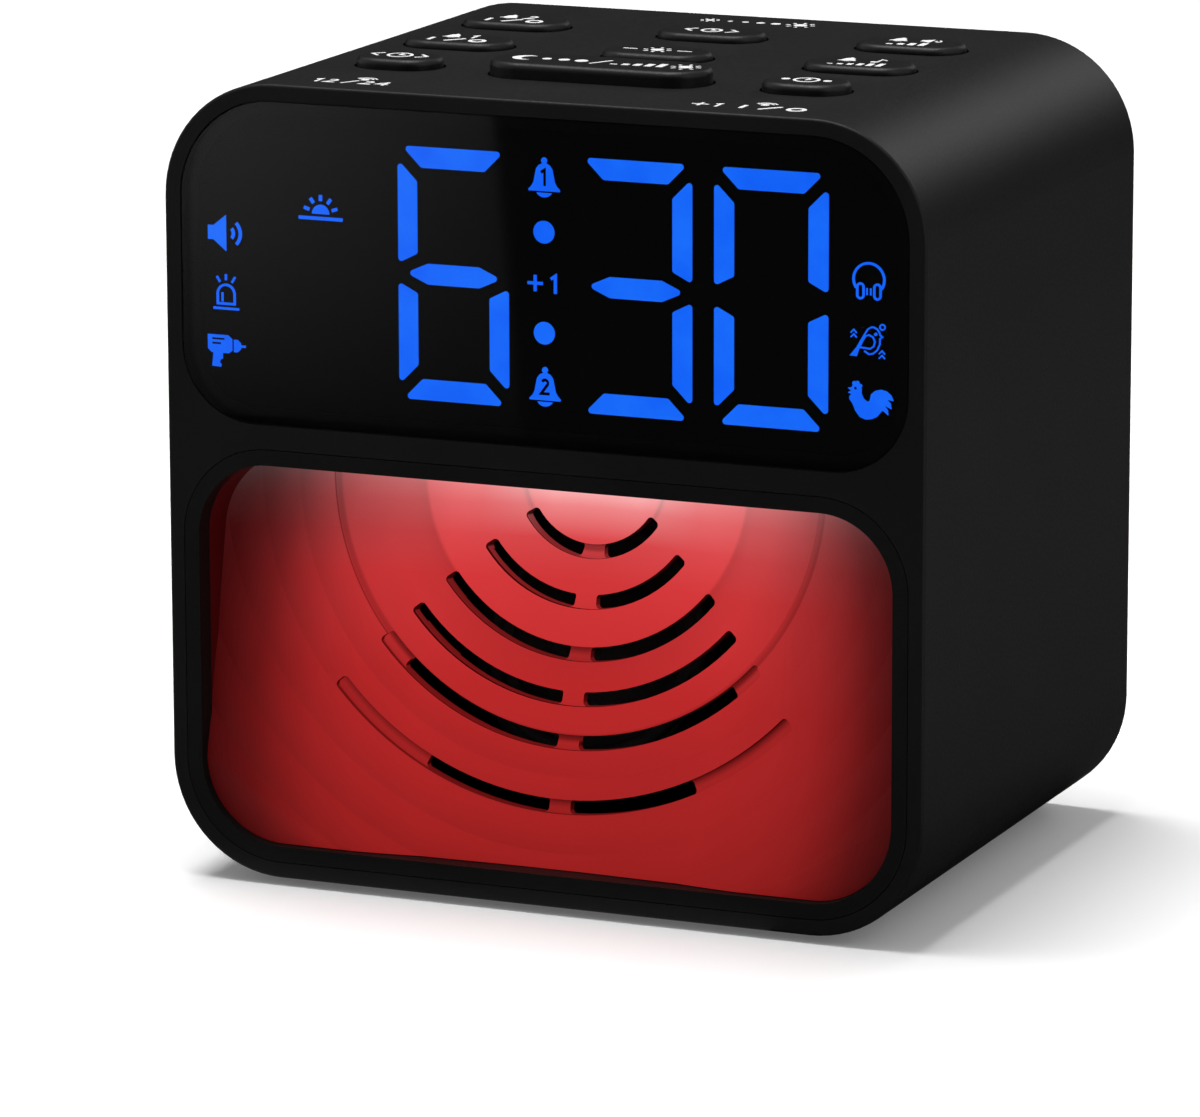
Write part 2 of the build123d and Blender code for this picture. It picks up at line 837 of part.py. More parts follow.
def make_dust_cap():
    seat = cone_low + (dust_cap_radius - cone_neck) * cone_depth / (cone_rim - cone_neck) + thread_gap
    inner = dome(dust_cap_radius - cone_thickness, dust_cap_rise - cone_thickness)
    return speaker_plane * Pos(0, 0, seat) * (dome(dust_cap_radius, dust_cap_rise) - inner)


def make_speaker_screws():
    driver = board_screw(speaker_flange + speaker_gap - dish_thickness - running_gap)
    seat = Pos(0, 0, -speaker_flange) * Rot(180, 0, 0)
    corners = PolarLocations(speaker_screw_circle, 4, start_angle=45)
    return group([speaker_plane * corner * seat * driver for corner in corners])


# Buttons

def make_button_cap(name):
    x, y = button_place(name)
    width, depth, rise = buttons[name][2:]
    cap = stadium(x, y, width, depth, flange_bottom, body_top + rise)
    cap = fillet(cap.edges().group_by(Axis.Z)[-1], button_round)
    cap += stadium(x, y, width + 2 * flange_lip, depth + 2 * flange_lip, flange_bottom, inner_top)
    return cap + post(x, y, stem_radius, plunger_top, flange_bottom)


def make_switch_plunger(name):
    x, y = button_place(name)
    low = button_board_top + switch_floor + button_travel + running_gap
    return post(x, y, plunger_radius, low, plunger_top)


def make_switch_bodies():
    bodies = []
    half = switch_size / 2
    for name in buttons:
        x, y = button_place(name)
        body = block(x - half, x + half, y - half, y + half, button_board_top, switch_top)
        floor = button_board_top + switch_floor
        bodies.append(body - post(x, y, plunger_radius + plunger_gap, floor, switch_top))
    return group(bodies)


def make_button_board():
    half_x = button_pitch_x + switch_size / 2 + button_board_margin
    near = button_rows[0] - button_board_margin
    far = button_rows[-1] + button_board_margin
    board = block(-half_x, half_x, near, far, button_board_bottom, button_board_top)
    for x, y in button_boss_places:
        board -= post(x, y, board_screw_radius + fit_gap, button_board_bottom, button_board_top)
    return board


def make_button_board_screws():
    driver = board_screw(board_thickness + inner_top - button_board_top - running_gap)
    return group([facing((0, 0, -1), x, y, button_board_bottom) * driver for x, y in button_boss_places])


# Main board and sockets

def make_main_board():
    half = main_board_width / 2
    board = block(-half, half, main_board_front, main_board_back, main_board_bottom, main_board_top)
    for x, z in standoff_places:
        board -= rod(x, z, board_screw_radius + fit_gap, main_board_front, main_board_back)
    return board


def make_main_board_screws():
    driver = board_screw(board_thickness + standoff_length - running_gap)
    return group([facing((0, -1, 0), x, main_board_front, z) * driver for x, z in standoff_places])


def make_power_jack():
    half = power_body / 2
    x = -socket_pitch
    jack = block(x - half, x + half, main_board_back, cover_inside, socket_z - half, socket_z + half)
    jack += rod(x, socket_z, power_nose_radius, cover_inside, socket_end)
    return jack - rod(x, socket_z, power_bore_radius, socket_end - power_bore_depth, socket_end)


def make_power_jack_pin():
    near = socket_end - power_bore_depth
    pin = rod(-socket_pitch, socket_z, power_pin_radius, near, socket_end - power_pin_recess)
    return fillet(pin.edges().group_by(Axis.Y)[-1], power_pin_radius / 2)


def make_shaker_jack():
    half = jack_body / 2
    jack = block(-half, half, main_board_back, cover_inside, socket_z - half, socket_z + half)
    jack += rod(0, socket_z, jack_nose_radius, cover_inside, socket_end)
    return jack - rod(0, socket_z, jack_bore_radius, socket_end - jack_bore_depth, socket_end)


def make_port_shell():
    x = socket_pitch
    half_width = port_width / 2
    half_height = port_height / 2
    low, high = socket_z - half_height, socket_z + half_height
    shell = block(x - half_width, x + half_width, main_board_back, socket_end, low, high)
    half_width -= port_wall
    low += port_wall
    high -= port_wall
    return shell - block(x - half_width, x + half_width, main_board_back, socket_end, low, high)


def make_port_tongue():
    x = socket_pitch
    half_width = port_tongue_width / 2
    half_height = port_tongue_height / 2
    base_width = port_width / 2 - port_wall - thread_gap
    base_height = port_height / 2 - port_wall - thread_gap
    far = socket_end - port_tongue_recess
    low, high = socket_z - half_height, socket_z + half_height
    tongue = block(x - half_width, x + half_width, main_board_back, far, low, high)
    base = main_board_back + board_thickness
    low, high = socket_z - base_height, socket_z + base_height
    return tongue + block(x - base_width, x + base_width, main_board_back, base, low, high)


def make_controller_chip():
    half = chip_size / 2
    middle = (main_board_bottom + main_board_top) / 2
    near = main_board_front - chip_thickness
    return block(half, half + chip_size, near, main_board_front, middle - half, middle + half)


def make_capacitors():
    middle = (main_board_bottom + main_board_top) / 2
    x = -chip_size - capacitor_radius
    cans = []
    for side in (-1, 1):
        z = middle + side * capacitor_pitch / 2
        cans.append(rod(x, z, capacitor_radius, main_board_front - capacitor_height, main_board_front))
    return group(cans)


# Battery bay

def make_battery_door():
    half = door_width / 2
    door = block(-half, half, door_front, back, body_bottom, tongue_bottom)
    door += block(-half - door_tongue, half + door_tongue, door_front, back, tongue_bottom, tongue_top)
    for step in range(grip_count):
        y = back - holder_margin - step * grip_pitch
        door -= block(-half / 2, half / 2, y - grip_width, y, body_bottom, body_bottom + grip_depth)
    return door


def make_battery_holder():
    near = cell_y - holder_half_depth
    far = cell_y + holder_half_depth
    holder = block(-holder_half_width, holder_half_width, near, far, inner_bottom, holder_top)
    holder -= post(0, cell_y, cell_radius + cell_gap, inner_bottom, cell_top)
    half = contact_width / 2 + fit_gap
    reach = cell_radius / 2
    holder -= block(-half, half, cell_y - reach, cell_y + reach, cell_top, cell_top + contact_slot)
    side = cell_radius + cell_gap + contact_slot
    holder -= block(-side, 0, cell_y - half, cell_y + half, inner_bottom, cell_top)
    for peg in (-1, 1):
        holder -= post(peg * holder_peg_x, cell_y, holder_peg_radius + fit_gap, inner_bottom, holder_top)
    return holder


def make_coin_cell():
    cell = post(0, cell_y, cell_radius, cell_bottom, cell_top)
    return chamfer(cell.edges().group_by(Axis.Z)[0], edge_round)


def make_battery_contacts():
    half = contact_width / 2
    reach = cell_radius / 2 - fit_gap
    upper = block(-half, half, cell_y - reach, cell_y + reach, cell_top, cell_top + contact_thickness)
    side = cell_radius + cell_gap
    outer = block(-side - contact_thickness, -side, cell_y - half, cell_y + half, cell_bottom, cell_top)
    return group([upper, outer])


# Flat leads

def flat_lead(points, x, width):
    """A flat lead whose middle line runs through points given as Y and Z."""
    path = FilletPolyline(*[(x, y, z) for y, z in points], radius=lead_bend)
    section = Plane(origin=path @ 0, x_dir=(1, 0, 0), z_dir=path % 0) * Rectangle(width, lead_thickness)
    return sweep(section, path=path)


def make_board_leads():
    """Flat leads from the display, button, light and speaker to the main board."""
    main_middle = (main_board_front + display_board_back) / 2
    display_end = lens_middle - lead_drop
    display = [(display_board_back, lens_middle), (main_middle, lens_middle)]
    display += [(main_middle, display_end), (main_board_front, display_end)]
    button_y = button_rows[-1] - switch_size
    button_z = display_end - 2 * lead_bend
    button = [(button_y, button_board_bottom), (button_y, button_z), (main_board_front, button_z)]
    light_up = light_board_top + 2 * lead_bend
    light_far = light_board_near + light_board_depth - lead_thickness
    light = [(light_far, light_board_top), (light_far, light_up), (main_board_front, light_up)]
    tag_height = -speaker_flange - running_gap
    tag = speaker_plane.from_local_coords(Vector(0, speaker_radius - speaker_flange, tag_height))
    speaker_y = main_board_front - 3 * lead_bend
    speaker_z = tag.Z - 3 * lead_bend
    speaker = [(tag.Y, tag.Z), (speaker_y, tag.Z), (speaker_y, speaker_z), (main_board_front, speaker_z)]
    spread = main_board_width / 4
    return group([
        flat_lead(display, 0, wide_lead),
        flat_lead(button, -spread, wide_lead),
        flat_lead(light, spread / 2, narrow_lead),
        flat_lead(speaker, 0, narrow_lead),
    ])


parts = {
    "housing_shell": make_housing_shell(),
    "rubber_feet": make_rubber_feet(),
    "rear_cover": make_rear_cover(),
    "rear_cover_screws": make_rear_cover_screws(),
    "display_lens": make_display_lens(),
    "display_block": make_display_block(),
    "lit_segments": make_segments(True),
    "dark_segments": make_segments(False),
    "display_leds": make_display_leds(),
    "display_board": make_display_board(),
    "display_board_screws": make_display_board_screws(),
    "window_trim": make_window_trim(),
    "light_reflector": make_light_reflector(),
    "light_board": make_light_board(),
    "light_leds": make_light_leds(),
    "speaker_basket": make_speaker_basket(),
    "speaker_top_plate": make_speaker_top_plate(),
    "speaker_magnet": make_speaker_magnet(),
    "speaker_yoke": make_speaker_yoke(),
    "speaker_surround": make_speaker_surround(),
    "speaker_spider": make_speaker_spider(),
    "speaker_cone": make_speaker_cone(),
    "voice_coil": make_voice_coil(),
    "dust_cap": make_dust_cap(),
    "speaker_screws": make_speaker_screws(),
    "switch_bodies": make_switch_bodies(),
    "button_board": make_button_board(),
    "button_board_screws": make_button_board_screws(),
    "main_board": make_main_board(),
    "main_board_screws": make_main_board_screws(),
    "controller_chip": make_controller_chip(),
    "capacitors": make_capacitors(),
    "power_jack": make_power_jack(),
    "power_jack_pin": make_power_jack_pin(),
    "shaker_jack": make_shaker_jack(),
    "usb_port_shell": make_port_shell(),
    "usb_port_tongue": make_port_tongue(),
    "battery_door": make_battery_door(),
    "battery_holder": make_battery_holder(),
    "coin_cell": make_coin_cell(),
    "battery_contacts": make_battery_contacts(),
    "board_leads": make_board_leads(),
}
for button_name in buttons:
    parts[f"{button_name}_cap"] = make_button_cap(button_name)
    parts[f"{button_name}_plunger"] = make_switch_plunger(button_name)

os.makedirs("parts", exist_ok=True)
for node, shape in parts.items():
    export_step(shape, f"parts/{node}.step")
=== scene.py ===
import json
import math

import bpy
from mathutils import Matrix, Vector
from mathutils.geometry import delaunay_2d_cdt


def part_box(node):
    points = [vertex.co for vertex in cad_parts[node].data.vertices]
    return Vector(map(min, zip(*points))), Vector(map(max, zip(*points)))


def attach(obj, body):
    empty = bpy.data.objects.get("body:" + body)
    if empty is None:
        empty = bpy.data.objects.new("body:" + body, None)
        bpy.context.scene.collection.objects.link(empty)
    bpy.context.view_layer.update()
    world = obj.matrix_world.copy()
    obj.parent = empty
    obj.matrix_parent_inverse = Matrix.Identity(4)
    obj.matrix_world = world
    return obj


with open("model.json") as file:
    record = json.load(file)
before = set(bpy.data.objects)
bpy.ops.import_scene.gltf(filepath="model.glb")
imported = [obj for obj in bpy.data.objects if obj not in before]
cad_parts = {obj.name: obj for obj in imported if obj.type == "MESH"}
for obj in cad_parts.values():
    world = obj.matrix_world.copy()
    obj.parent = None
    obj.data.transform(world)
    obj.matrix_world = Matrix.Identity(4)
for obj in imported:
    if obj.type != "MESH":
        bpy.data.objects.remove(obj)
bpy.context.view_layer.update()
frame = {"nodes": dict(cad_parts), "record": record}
nodes = frame["nodes"]

MM = 0.001
CASE = "case"
WHITE = (1.0, 1.0, 1.0, 1.0)

trim_low, trim_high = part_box("window_trim")
block_low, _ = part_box("display_block")
shell_low, shell_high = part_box("housing_shell")


# Shader nodes

def add(tree, kind, values=None, **settings):
    """A shader node with its settings; a value that is a socket is linked."""
    made = tree.nodes.new(kind)
    for key, value in settings.items():
        setattr(made, key, value)
    for key, value in (values or {}).items():
        if isinstance(value, bpy.types.NodeSocket):
            tree.links.new(value, made.inputs[key])
        else:
            made.inputs[key].default_value = value
    return made


def calc(tree, operation, *values):
    return add(tree, "ShaderNodeMath", dict(enumerate(values)), operation=operation).outputs["Value"]


def vector_calc(tree, operation, output, values):
    return add(tree, "ShaderNodeVectorMath", values, operation=operation).outputs[output]


def start(name):
    made = bpy.data.materials.new(name)
    made.use_nodes = True
    made.node_tree.nodes.clear()
    return made, made.node_tree


def finish_material(tree, shader):
    add(tree, "ShaderNodeOutputMaterial", {"Surface": shader})


def place(tree):
    return add(tree, "ShaderNodeTexCoord").outputs["Object"]


def parts(tree, vector):
    """The X, Y and Z of a vector, as the outputs of one node."""
    return add(tree, "ShaderNodeSeparateXYZ", {"Vector": vector}).outputs


def facing(tree):
    return parts(tree, add(tree, "ShaderNodeNewGeometry").outputs["Normal"])


def noise(tree, where, scale, detail=2.0):
    values = {"Vector": where, "Scale": scale, "Detail": detail}
    return add(tree, "ShaderNodeTexNoise", values).outputs["Fac"]


def spread(tree, value, low, high, to_low, to_high):
    """A value mapped from low..high to to_low..to_high and held at the ends."""
    values = {"Value": value, "From Min": low, "From Max": high, "To Min": to_low, "To Max": to_high}
    return add(tree, "ShaderNodeMapRange", values).outputs["Result"]


def ramp(tree, value, stops):
    """A colour ramp with stops given as a position and a linear colour."""
    made = add(tree, "ShaderNodeValToRGB", {"Fac": value})
    points = made.color_ramp.elements
    while len(points) < len(stops):
        points.new(1.0)
    for point, (position, colour) in zip(points, stops):
        point.position = position
        point.color = (*colour, 1.0)
    return made.outputs["Color"]


# The Mix node's sockets for colours
MIX_FIRST, MIX_SECOND, MIX_RESULT = 6, 7, 2


def blend(tree, kind, first, second):
    """Two colours multiplied or added, as kind says."""
    values = {"Factor": 1.0, MIX_FIRST: first, MIX_SECOND: second}
    mixed = add(tree, "ShaderNodeMix", values, data_type="RGBA", blend_type=kind)
    return mixed.outputs[MIX_RESULT]


def multiplied(tree, first, *others):
    for other in others:
        first = blend(tree, "MULTIPLY", first, other)
    return first


def grey(level):
    return level, level, level


def levels(tree, value, stops):
    """A ramp of greys."""
    return ramp(tree, value, [(position, grey(level)) for position, level in stops])


def patches(tree, where, scale, detail, dark, light, low=0.3, high=0.7):
    """Two close colours in soft patches."""
    return ramp(tree, noise(tree, where, scale, detail), [(low, dark), (high, light)])


def grained(tree, where, grain, depth, rough):
    """The roughness and the normal of a fine grain."""
    fine = noise(tree, where, grain)
    return {
        "Roughness": spread(tree, fine, 0.3, 0.7, *rough),
        "Normal": add(tree, "ShaderNodeBump", {"Distance": depth, "Height": fine}).outputs["Normal"],
    }


def linear(red, green, blue):
    """A screen colour from 0 to 255 as a linear colour."""
    def channel(value):
        value /= 255
        return value / 12.92 if value <= 0.04045 else ((value + 0.055) / 1.055) ** 2.4
    return channel(red), channel(green), channel(blue)


# Plain materials, the lens and the lit segments

PATCH_SCALE = 60.0


def surface(name, dark, light, rough, grain=2500.0, bump=0.02 * MM, metal=0.0, specular=0.5):
    """A moulded, pressed or painted surface: two close colours in soft patches, and a fine grain."""
    made, tree = start(name)
    where = place(tree)
    shader = add(tree, "ShaderNodeBsdfPrincipled", {
        "Base Color": patches(tree, where, PATCH_SCALE, 4.0, dark, light, 0.35, 0.65),
        **grained(tree, where, grain, bump, rough),
        "Metallic": metal,
        "Specular IOR Level": specular,
    })
    finish_material(tree, shader.outputs["BSDF"])
    return made


LENS_TINT = (0.6, 0.6, 0.61, 1.0)
LENS_SKIN = 0.017
LENS_ROUND_SKIN = 0.1
SEGMENT_GLOW = 2.4


def make_lens_material():
    """Polished smoked acrylic: a dark sheet with a mirror-like skin, weaker on its rounded edge."""
    made, tree = start("smoked_lens")
    smear = spread(tree, noise(tree, place(tree), 90.0, 3.0), 0.35, 0.7, 0.02, 0.05)
    clear = add(tree, "ShaderNodeBsdfTransparent", {"Color": LENS_TINT}).outputs["BSDF"]
    skin = add(tree, "ShaderNodeBsdfGlossy", {"Color": WHITE, "Roughness": smear}).outputs["BSDF"]
    flat_part = spread(tree, facing(tree)["Y"], -0.97, -0.9, 1.0, LENS_ROUND_SKIN)
    glancing = add(tree, "ShaderNodeLayerWeight", {"Blend": 0.5}).outputs["Facing"]
    skin_share = spread(tree, calc(tree, "POWER", glancing, 5.0), 0.0, 1.0, LENS_SKIN, 1.0)
    share = calc(tree, "MULTIPLY", skin_share, flat_part)
    mixed = add(tree, "ShaderNodeMixShader", {"Fac": share, 1: clear, 2: skin})
    finish_material(tree, mixed.outputs["Shader"])
    return made


def make_lit_blue():
    """A lit light pipe, a little brighter in soft patches."""
    made, tree = start("lit_blue")
    glow = patches(tree, place(tree), 180.0, 3.0, linear(14, 98, 250), linear(24, 112, 255))
    shader = add(tree, "ShaderNodeBsdfPrincipled", {
        "Base Color": glow,
        "Roughness": 0.4,
        "Specular IOR Level": 0.1,
        "Emission Color": glow,
        "Emission Strength": SEGMENT_GLOW,
    })
    finish_material(tree, shader.outputs["BSDF"])
    return made


# The lit dish, whose lamp light and shade are painted into its emission: its axis, cone, ring, ripples and
# slots are those of the solids, with radii in millimetres

WINDOW_BORDER = 1.95 * MM
WINDOW_FOOT = trim_low.z + WINDOW_BORDER
WINDOW_TOP = trim_high.z - WINDOW_BORDER
WINDOW_EDGE = 0.2 * MM
DISH_DEPTH = 19.9 * MM
DISH_DROP = 1.7 * MM
DISH_ORIGIN = (0.0, shell_low.y + DISH_DEPTH, WINDOW_TOP - DISH_DROP)
DISH_TILT = math.radians(6.5)
DISH_AXIS = (0.0, -math.cos(DISH_TILT), math.sin(DISH_TILT))
DISH_SLOPE = 0.24
DISH_REACH = 62.0
RING_RADIUS = 32.4
RIPPLE_PITCH = 4.7
RIPPLE_COUNT = 6
SLOT_RADII = (9.75, 15.85, 22.25, 27.65, 33.0, 40.75)
SLOT_WIDTH = 1.8

# Depths before the cone, in millimetres: at a slot's mouth, at a groove's floor and at the dish's back
SLOT_MOUTH = (0.1, -0.3)
GROOVE_FLOOR = (-0.43, -0.55)
DISH_BACK = (-2.0, -1.7)

# Its painted light, by height in the window, by distance from the middle and by radius
DISH_TONES = (
    (0.0, linear(154, 29, 28)), (0.45, linear(186, 39, 40)),
    (0.7, linear(208, 54, 56)), (1.0, linear(231, 97, 101)),
)
LIGHT_MIDDLE = 0.3 * MM
LIGHT_FOOT, LIGHT_TOP = -0.22, 0.34
SIDE_FADE = (
    (0.0, 1.0), (0.42, 1.0), (0.585, 0.88), (0.69, 0.72),
    (0.77, 0.48), (0.855, 0.21), (0.92, 0.1), (0.98, 0.05),
)
# A painted pale glow under the lamps along the top, fading to the sides
TOP_GLOW = (
    (0.8, (0.0, 0.0, 0.0)), (0.88, (0.1, 0.15, 0.15)), (0.92, (0.2, 0.36, 0.36)),
    (0.96, (0.34, 0.75, 0.75)), (1.0, (0.5, 1.0, 1.0)),
)
TOP_FADE = ((0.0, 1.0), (0.12, 1.0), (0.3, 0.36), (0.48, 0.18), (0.64, 0.09), (0.85, 0.04))
# Painted shade at the ring steps and in the ring's groove; within that groove the walls get the full
# painted light
RING_LEVELS = (
    (0.0, 1.0), (9.1, 1.0), (9.5, 0.6), (10.0, 0.93), (21.3, 1.0), (21.7, 0.72), (23.2, 0.82), (26.5, 0.92),
    (31.85, 0.94), (32.05, 0.68), (32.75, 0.68), (32.95, 1.0),
)
RING_GROOVE = ((31.85, 0.0), (31.9, 1.0), (32.9, 1.0), (32.95, 0.0))
# The ripples' painted light and shade
RIPPLE_CREST, RIPPLE_FOOT, RIPPLE_MEAN = 0.96, 0.83, 0.87
RIPPLE_EDGE = 0.05
RIPPLE_BLEND = 10 * MM
# Painted shadow on the grooves' floors near their inner edge, and painted shade on walls that turn from the
# front; slot walls that face up keep more of the painted light
GROOVE_SHADOW = ((0.0, 0.12), (0.45, 0.5), (1.1, 0.92))
WALL_GLOW, SLOT_WALL_GLOW = 0.03, 0.4

# Its upper corners: where the light begins and ends its fall, across and up, and what is left of it
LEFT_CORNER = ((-18 * MM, -26 * MM), (0.7, 0.84), 0.78)
RIGHT_CORNER = ((22 * MM, 31 * MM), (0.35, 0.82), 0.73)


def dish_place(tree, where):
    """A point's distance from the axis, as a share of the dish's reach, and before the cone, in mm."""
    out = vector_calc(tree, "SUBTRACT", "Vector", {0: where, 1: DISH_ORIGIN})
    ahead = vector_calc(tree, "DOT_PRODUCT", "Value", {0: out, 1: DISH_AXIS})
    along = vector_calc(tree, "SCALE", "Vector", {0: DISH_AXIS, "Scale": ahead})
    across = vector_calc(tree, "SUBTRACT", "Vector", {0: out, 1: along})
    radius = vector_calc(tree, "LENGTH", "Value", {0: across})
    before = calc(tree, "MULTIPLY", calc(tree, "MULTIPLY_ADD", radius, -DISH_SLOPE, ahead), 1 / MM)
    return spread(tree, radius, 0.0, DISH_REACH * MM, 0.0, 1.0), before


def by_radius(tree, out, stops):
    """A grey level by the distance from the dish's axis, with stops given in millimetres."""
    return levels(tree, out, [(stop / DISH_REACH, level) for stop, level in stops])


def dish_ripples(tree, x, out):
    """The ripples' light: each is brightest at its inner edge on the left; they are even on the right."""
    within = (RING_RADIUS - RIPPLE_EDGE, 1.0)
    bands = [within]
    for step in range(RIPPLE_COUNT):
        begin = RING_RADIUS + step * RIPPLE_PITCH
        bands += [(begin, RIPPLE_CREST), (begin + RIPPLE_PITCH - RIPPLE_EDGE, RIPPLE_FOOT)]
    even = by_radius(tree, out, [within, (RING_RADIUS, RIPPLE_MEAN)])
    on_right = spread(tree, x, 0.0, RIPPLE_BLEND, 0.0, 1.0)
    return spread(tree, on_right, 0.0, 1.0, by_radius(tree, out, bands), even)


def upper_corner(tree, x, rise, across, up, least):
    """A level that falls to least in an upper corner of the window."""
    return spread(tree, x, *across, 1.0, spread(tree, rise, *up, 1.0, least))


def dish_colour(tree, x, rise, out):
    """Painted lamp light: red that falls off to the sides and corners, painted shade at the rings and
    ripples, and a pale painted glow under the lamps.
    """
    aside = calc(tree, "ABSOLUTE", calc(tree, "ADD", x, -LIGHT_MIDDLE))
    aside = spread(tree, aside, 0.0, trim_high.x, 0.0, 1.0)
    off_middle = spread(tree, rise, 0.0, 1.0, LIGHT_FOOT, LIGHT_TOP)
    fade = levels(tree, calc(tree, "MULTIPLY_ADD", off_middle, off_middle, aside), SIDE_FADE)
    corners = [upper_corner(tree, x, rise, *corner) for corner in (LEFT_CORNER, RIGHT_CORNER)]
    rings = by_radius(tree, out, RING_LEVELS)
    tone = ramp(tree, rise, DISH_TONES)
    red = multiplied(tree, tone, fade, rings, dish_ripples(tree, x, out), *corners)
    glow = multiplied(tree, ramp(tree, rise, TOP_GLOW), levels(tree, aside, TOP_FADE))
    return blend(tree, "ADD", red, glow)


def dish_strength(tree, z, out, before, open_air):
    """How much of the painted lamp light a face gets: less on walls and in grooves, as painted shade, and
    none outside the window.
    """
    normal = facing(tree)
    turned = spread(tree, normal["Y"], -0.9, -0.2, 1.0, WALL_GLOW)
    upward = spread(tree, normal["Z"], -0.1, 0.35, 0.0, SLOT_WALL_GLOW)
    in_slot = spread(tree, before, *SLOT_MOUTH, 0.0, upward)
    shadows = []
    for row in SLOT_RADII:
        inner = row - SLOT_WIDTH / 2
        shadows += [(inner + step, level) for step, level in GROOVE_SHADOW]
    in_groove = spread(tree, before, *GROOVE_FLOOR, 1.0, by_radius(tree, out, shadows))
    in_window = spread(tree, z, WINDOW_TOP, WINDOW_TOP + WINDOW_EDGE, 1.0, 0.0)
    strength = turned
    for lit in (in_slot, by_radius(tree, out, RING_GROOVE)):
        strength = calc(tree, "MAXIMUM", strength, lit)
    for share in (open_air, in_window, in_groove):
        strength = calc(tree, "MULTIPLY", strength, share)
    return strength


def make_lit_dish():
    """A satin moulding whose red light from the row of lamps along its top edge is painted into its
    emission.
    """
    made, tree = start("lit_red_dish")
    where = place(tree)
    at = parts(tree, where)
    rise = spread(tree, at["Z"], WINDOW_FOOT, WINDOW_TOP, 0.0, 1.0)
    out, before = dish_place(tree, where)
    open_air = spread(tree, before, *DISH_BACK, 0.0, 1.0)
    skin = patches(tree, where, 70.0, 3.0, (0.06, 0.002, 0.0025), (0.075, 0.0025, 0.003))
    shader = add(tree, "ShaderNodeBsdfPrincipled", {
        # Painted shade: the base colour falls to near black from 1.7 mm behind the cone and beyond
        "Base Color": multiplied(tree, skin, levels(tree, open_air, [(0.0, 0.04), (1.0, 1.0)])),
        **grained(tree, where, 3000.0, 0.01 * MM, (0.4, 0.5)),
        "Specular IOR Level": 0.05,
        "Emission Color": dish_colour(tree, at["X"], rise, out),
        "Emission Strength": dish_strength(tree, at["Z"], out, before, open_air),
    })
    finish_material(tree, shader.outputs["BSDF"])
    return made


# Materials of the solids, by material slot

black = (0.0045, 0.0045, 0.0048)
worn_black = (0.0055, 0.0055, 0.0058)
looks = {
    "case_black": surface("moulded_black", black, worn_black, (0.42, 0.52), specular=0.12),
    "button_black": surface("button_black", black, worn_black, (0.36, 0.44), grain=3500.0, specular=0.15),
    "trim_black": surface("trim_black", grey(0.0035), grey(0.0045), (0.42, 0.5), specular=0.12),
    "smoked_lens": make_lens_material(),
    "block_black": surface("block_black", grey(0.0012), grey(0.002), (0.8, 0.9), specular=0.1),
    "lit_blue": make_lit_blue(),
    "dark_segment": surface(
        "dark_segment", (0.0015, 0.0015, 0.0016), (0.0025, 0.0025, 0.0026), (0.7, 0.8), specular=0.1,
    ),
    "reflector_red": make_lit_dish(),
    "foot_rubber": surface("black_rubber", grey(0.012), grey(0.02), (0.7, 0.85), grain=4000.0),
    "pressed_steel": surface("zinc_steel", (0.42, 0.42, 0.43), (0.52, 0.52, 0.53), (0.3, 0.42), metal=1.0),
    "plated_steel": surface("nickel_steel", (0.6, 0.6, 0.59), (0.68, 0.68, 0.67), (0.2, 0.3), metal=1.0),
    "black_screw": surface("black_screw", grey(0.02), grey(0.035), (0.3, 0.4), metal=0.6),
    "ferrite": surface("ferrite", (0.03, 0.03, 0.032), (0.05, 0.05, 0.052), (0.55, 0.7), grain=5000.0),
    "spider_cloth": surface(
        "spider_cloth", (0.42, 0.28, 0.11), (0.55, 0.4, 0.19), (0.8, 0.9), grain=4500.0, bump=0.1 * MM,
    ),
    "cone_paper": surface(
        "cone_paper", grey(0.018), (0.035, 0.035, 0.034), (0.75, 0.9), grain=3000.0, bump=0.1 * MM,
    ),
    "coil_copper": surface("coil_copper", (0.6, 0.25, 0.08), (0.75, 0.36, 0.14), (0.25, 0.4), metal=1.0),
    "board_green": surface("board_green", (0.01, 0.085, 0.03), (0.016, 0.12, 0.045), (0.3, 0.4)),
    "led_yellow": surface("led_phosphor", (0.7, 0.58, 0.16), (0.82, 0.72, 0.28), (0.3, 0.4)),
    "switch_black": surface("black_nylon", grey(0.015), grey(0.024), (0.45, 0.6)),
    "plunger_white": surface("white_nylon", (0.62, 0.62, 0.6), (0.7, 0.7, 0.68), (0.4, 0.5)),
    "capacitor_can": surface(
        "capacitor_can", (0.5, 0.51, 0.53), (0.6, 0.61, 0.63), (0.25, 0.35), metal=1.0,
    ),
    "tongue_white": surface("white_connector", (0.68, 0.68, 0.66), (0.76, 0.76, 0.74), (0.4, 0.5)),
    "contact_brass": surface("brass_leaf", (0.68, 0.5, 0.2), (0.78, 0.6, 0.28), (0.25, 0.35), metal=1.0),
    "lead_grey": surface("grey_lead", (0.24, 0.24, 0.25), (0.32, 0.32, 0.33), (0.5, 0.6)),
}
for entry in frame["record"]["subparts"]:
    mesh = nodes[entry["node"]].data
    mesh.materials.clear()
    mesh.materials.append(looks[entry["material_slot"]])

print_white = surface("print_white", grey(0.72), grey(0.8), (0.5, 0.6), specular=0.2)


# Flat shapes in millimetres, each a list of outlines

DISC_STEPS = 36
MITRE_LIMIT = 0.4


def arc(x, y, radius, begin, end, steps=20):
    angles = [math.radians(begin + (end - begin) * step / steps) for step in range(steps + 1)]
    return [(x + radius * math.cos(angle), y + radius * math.sin(angle)) for angle in angles]


def disc(x, y, radius):
    return arc(x, y, radius, 0, 360, DISC_STEPS)[:-1]


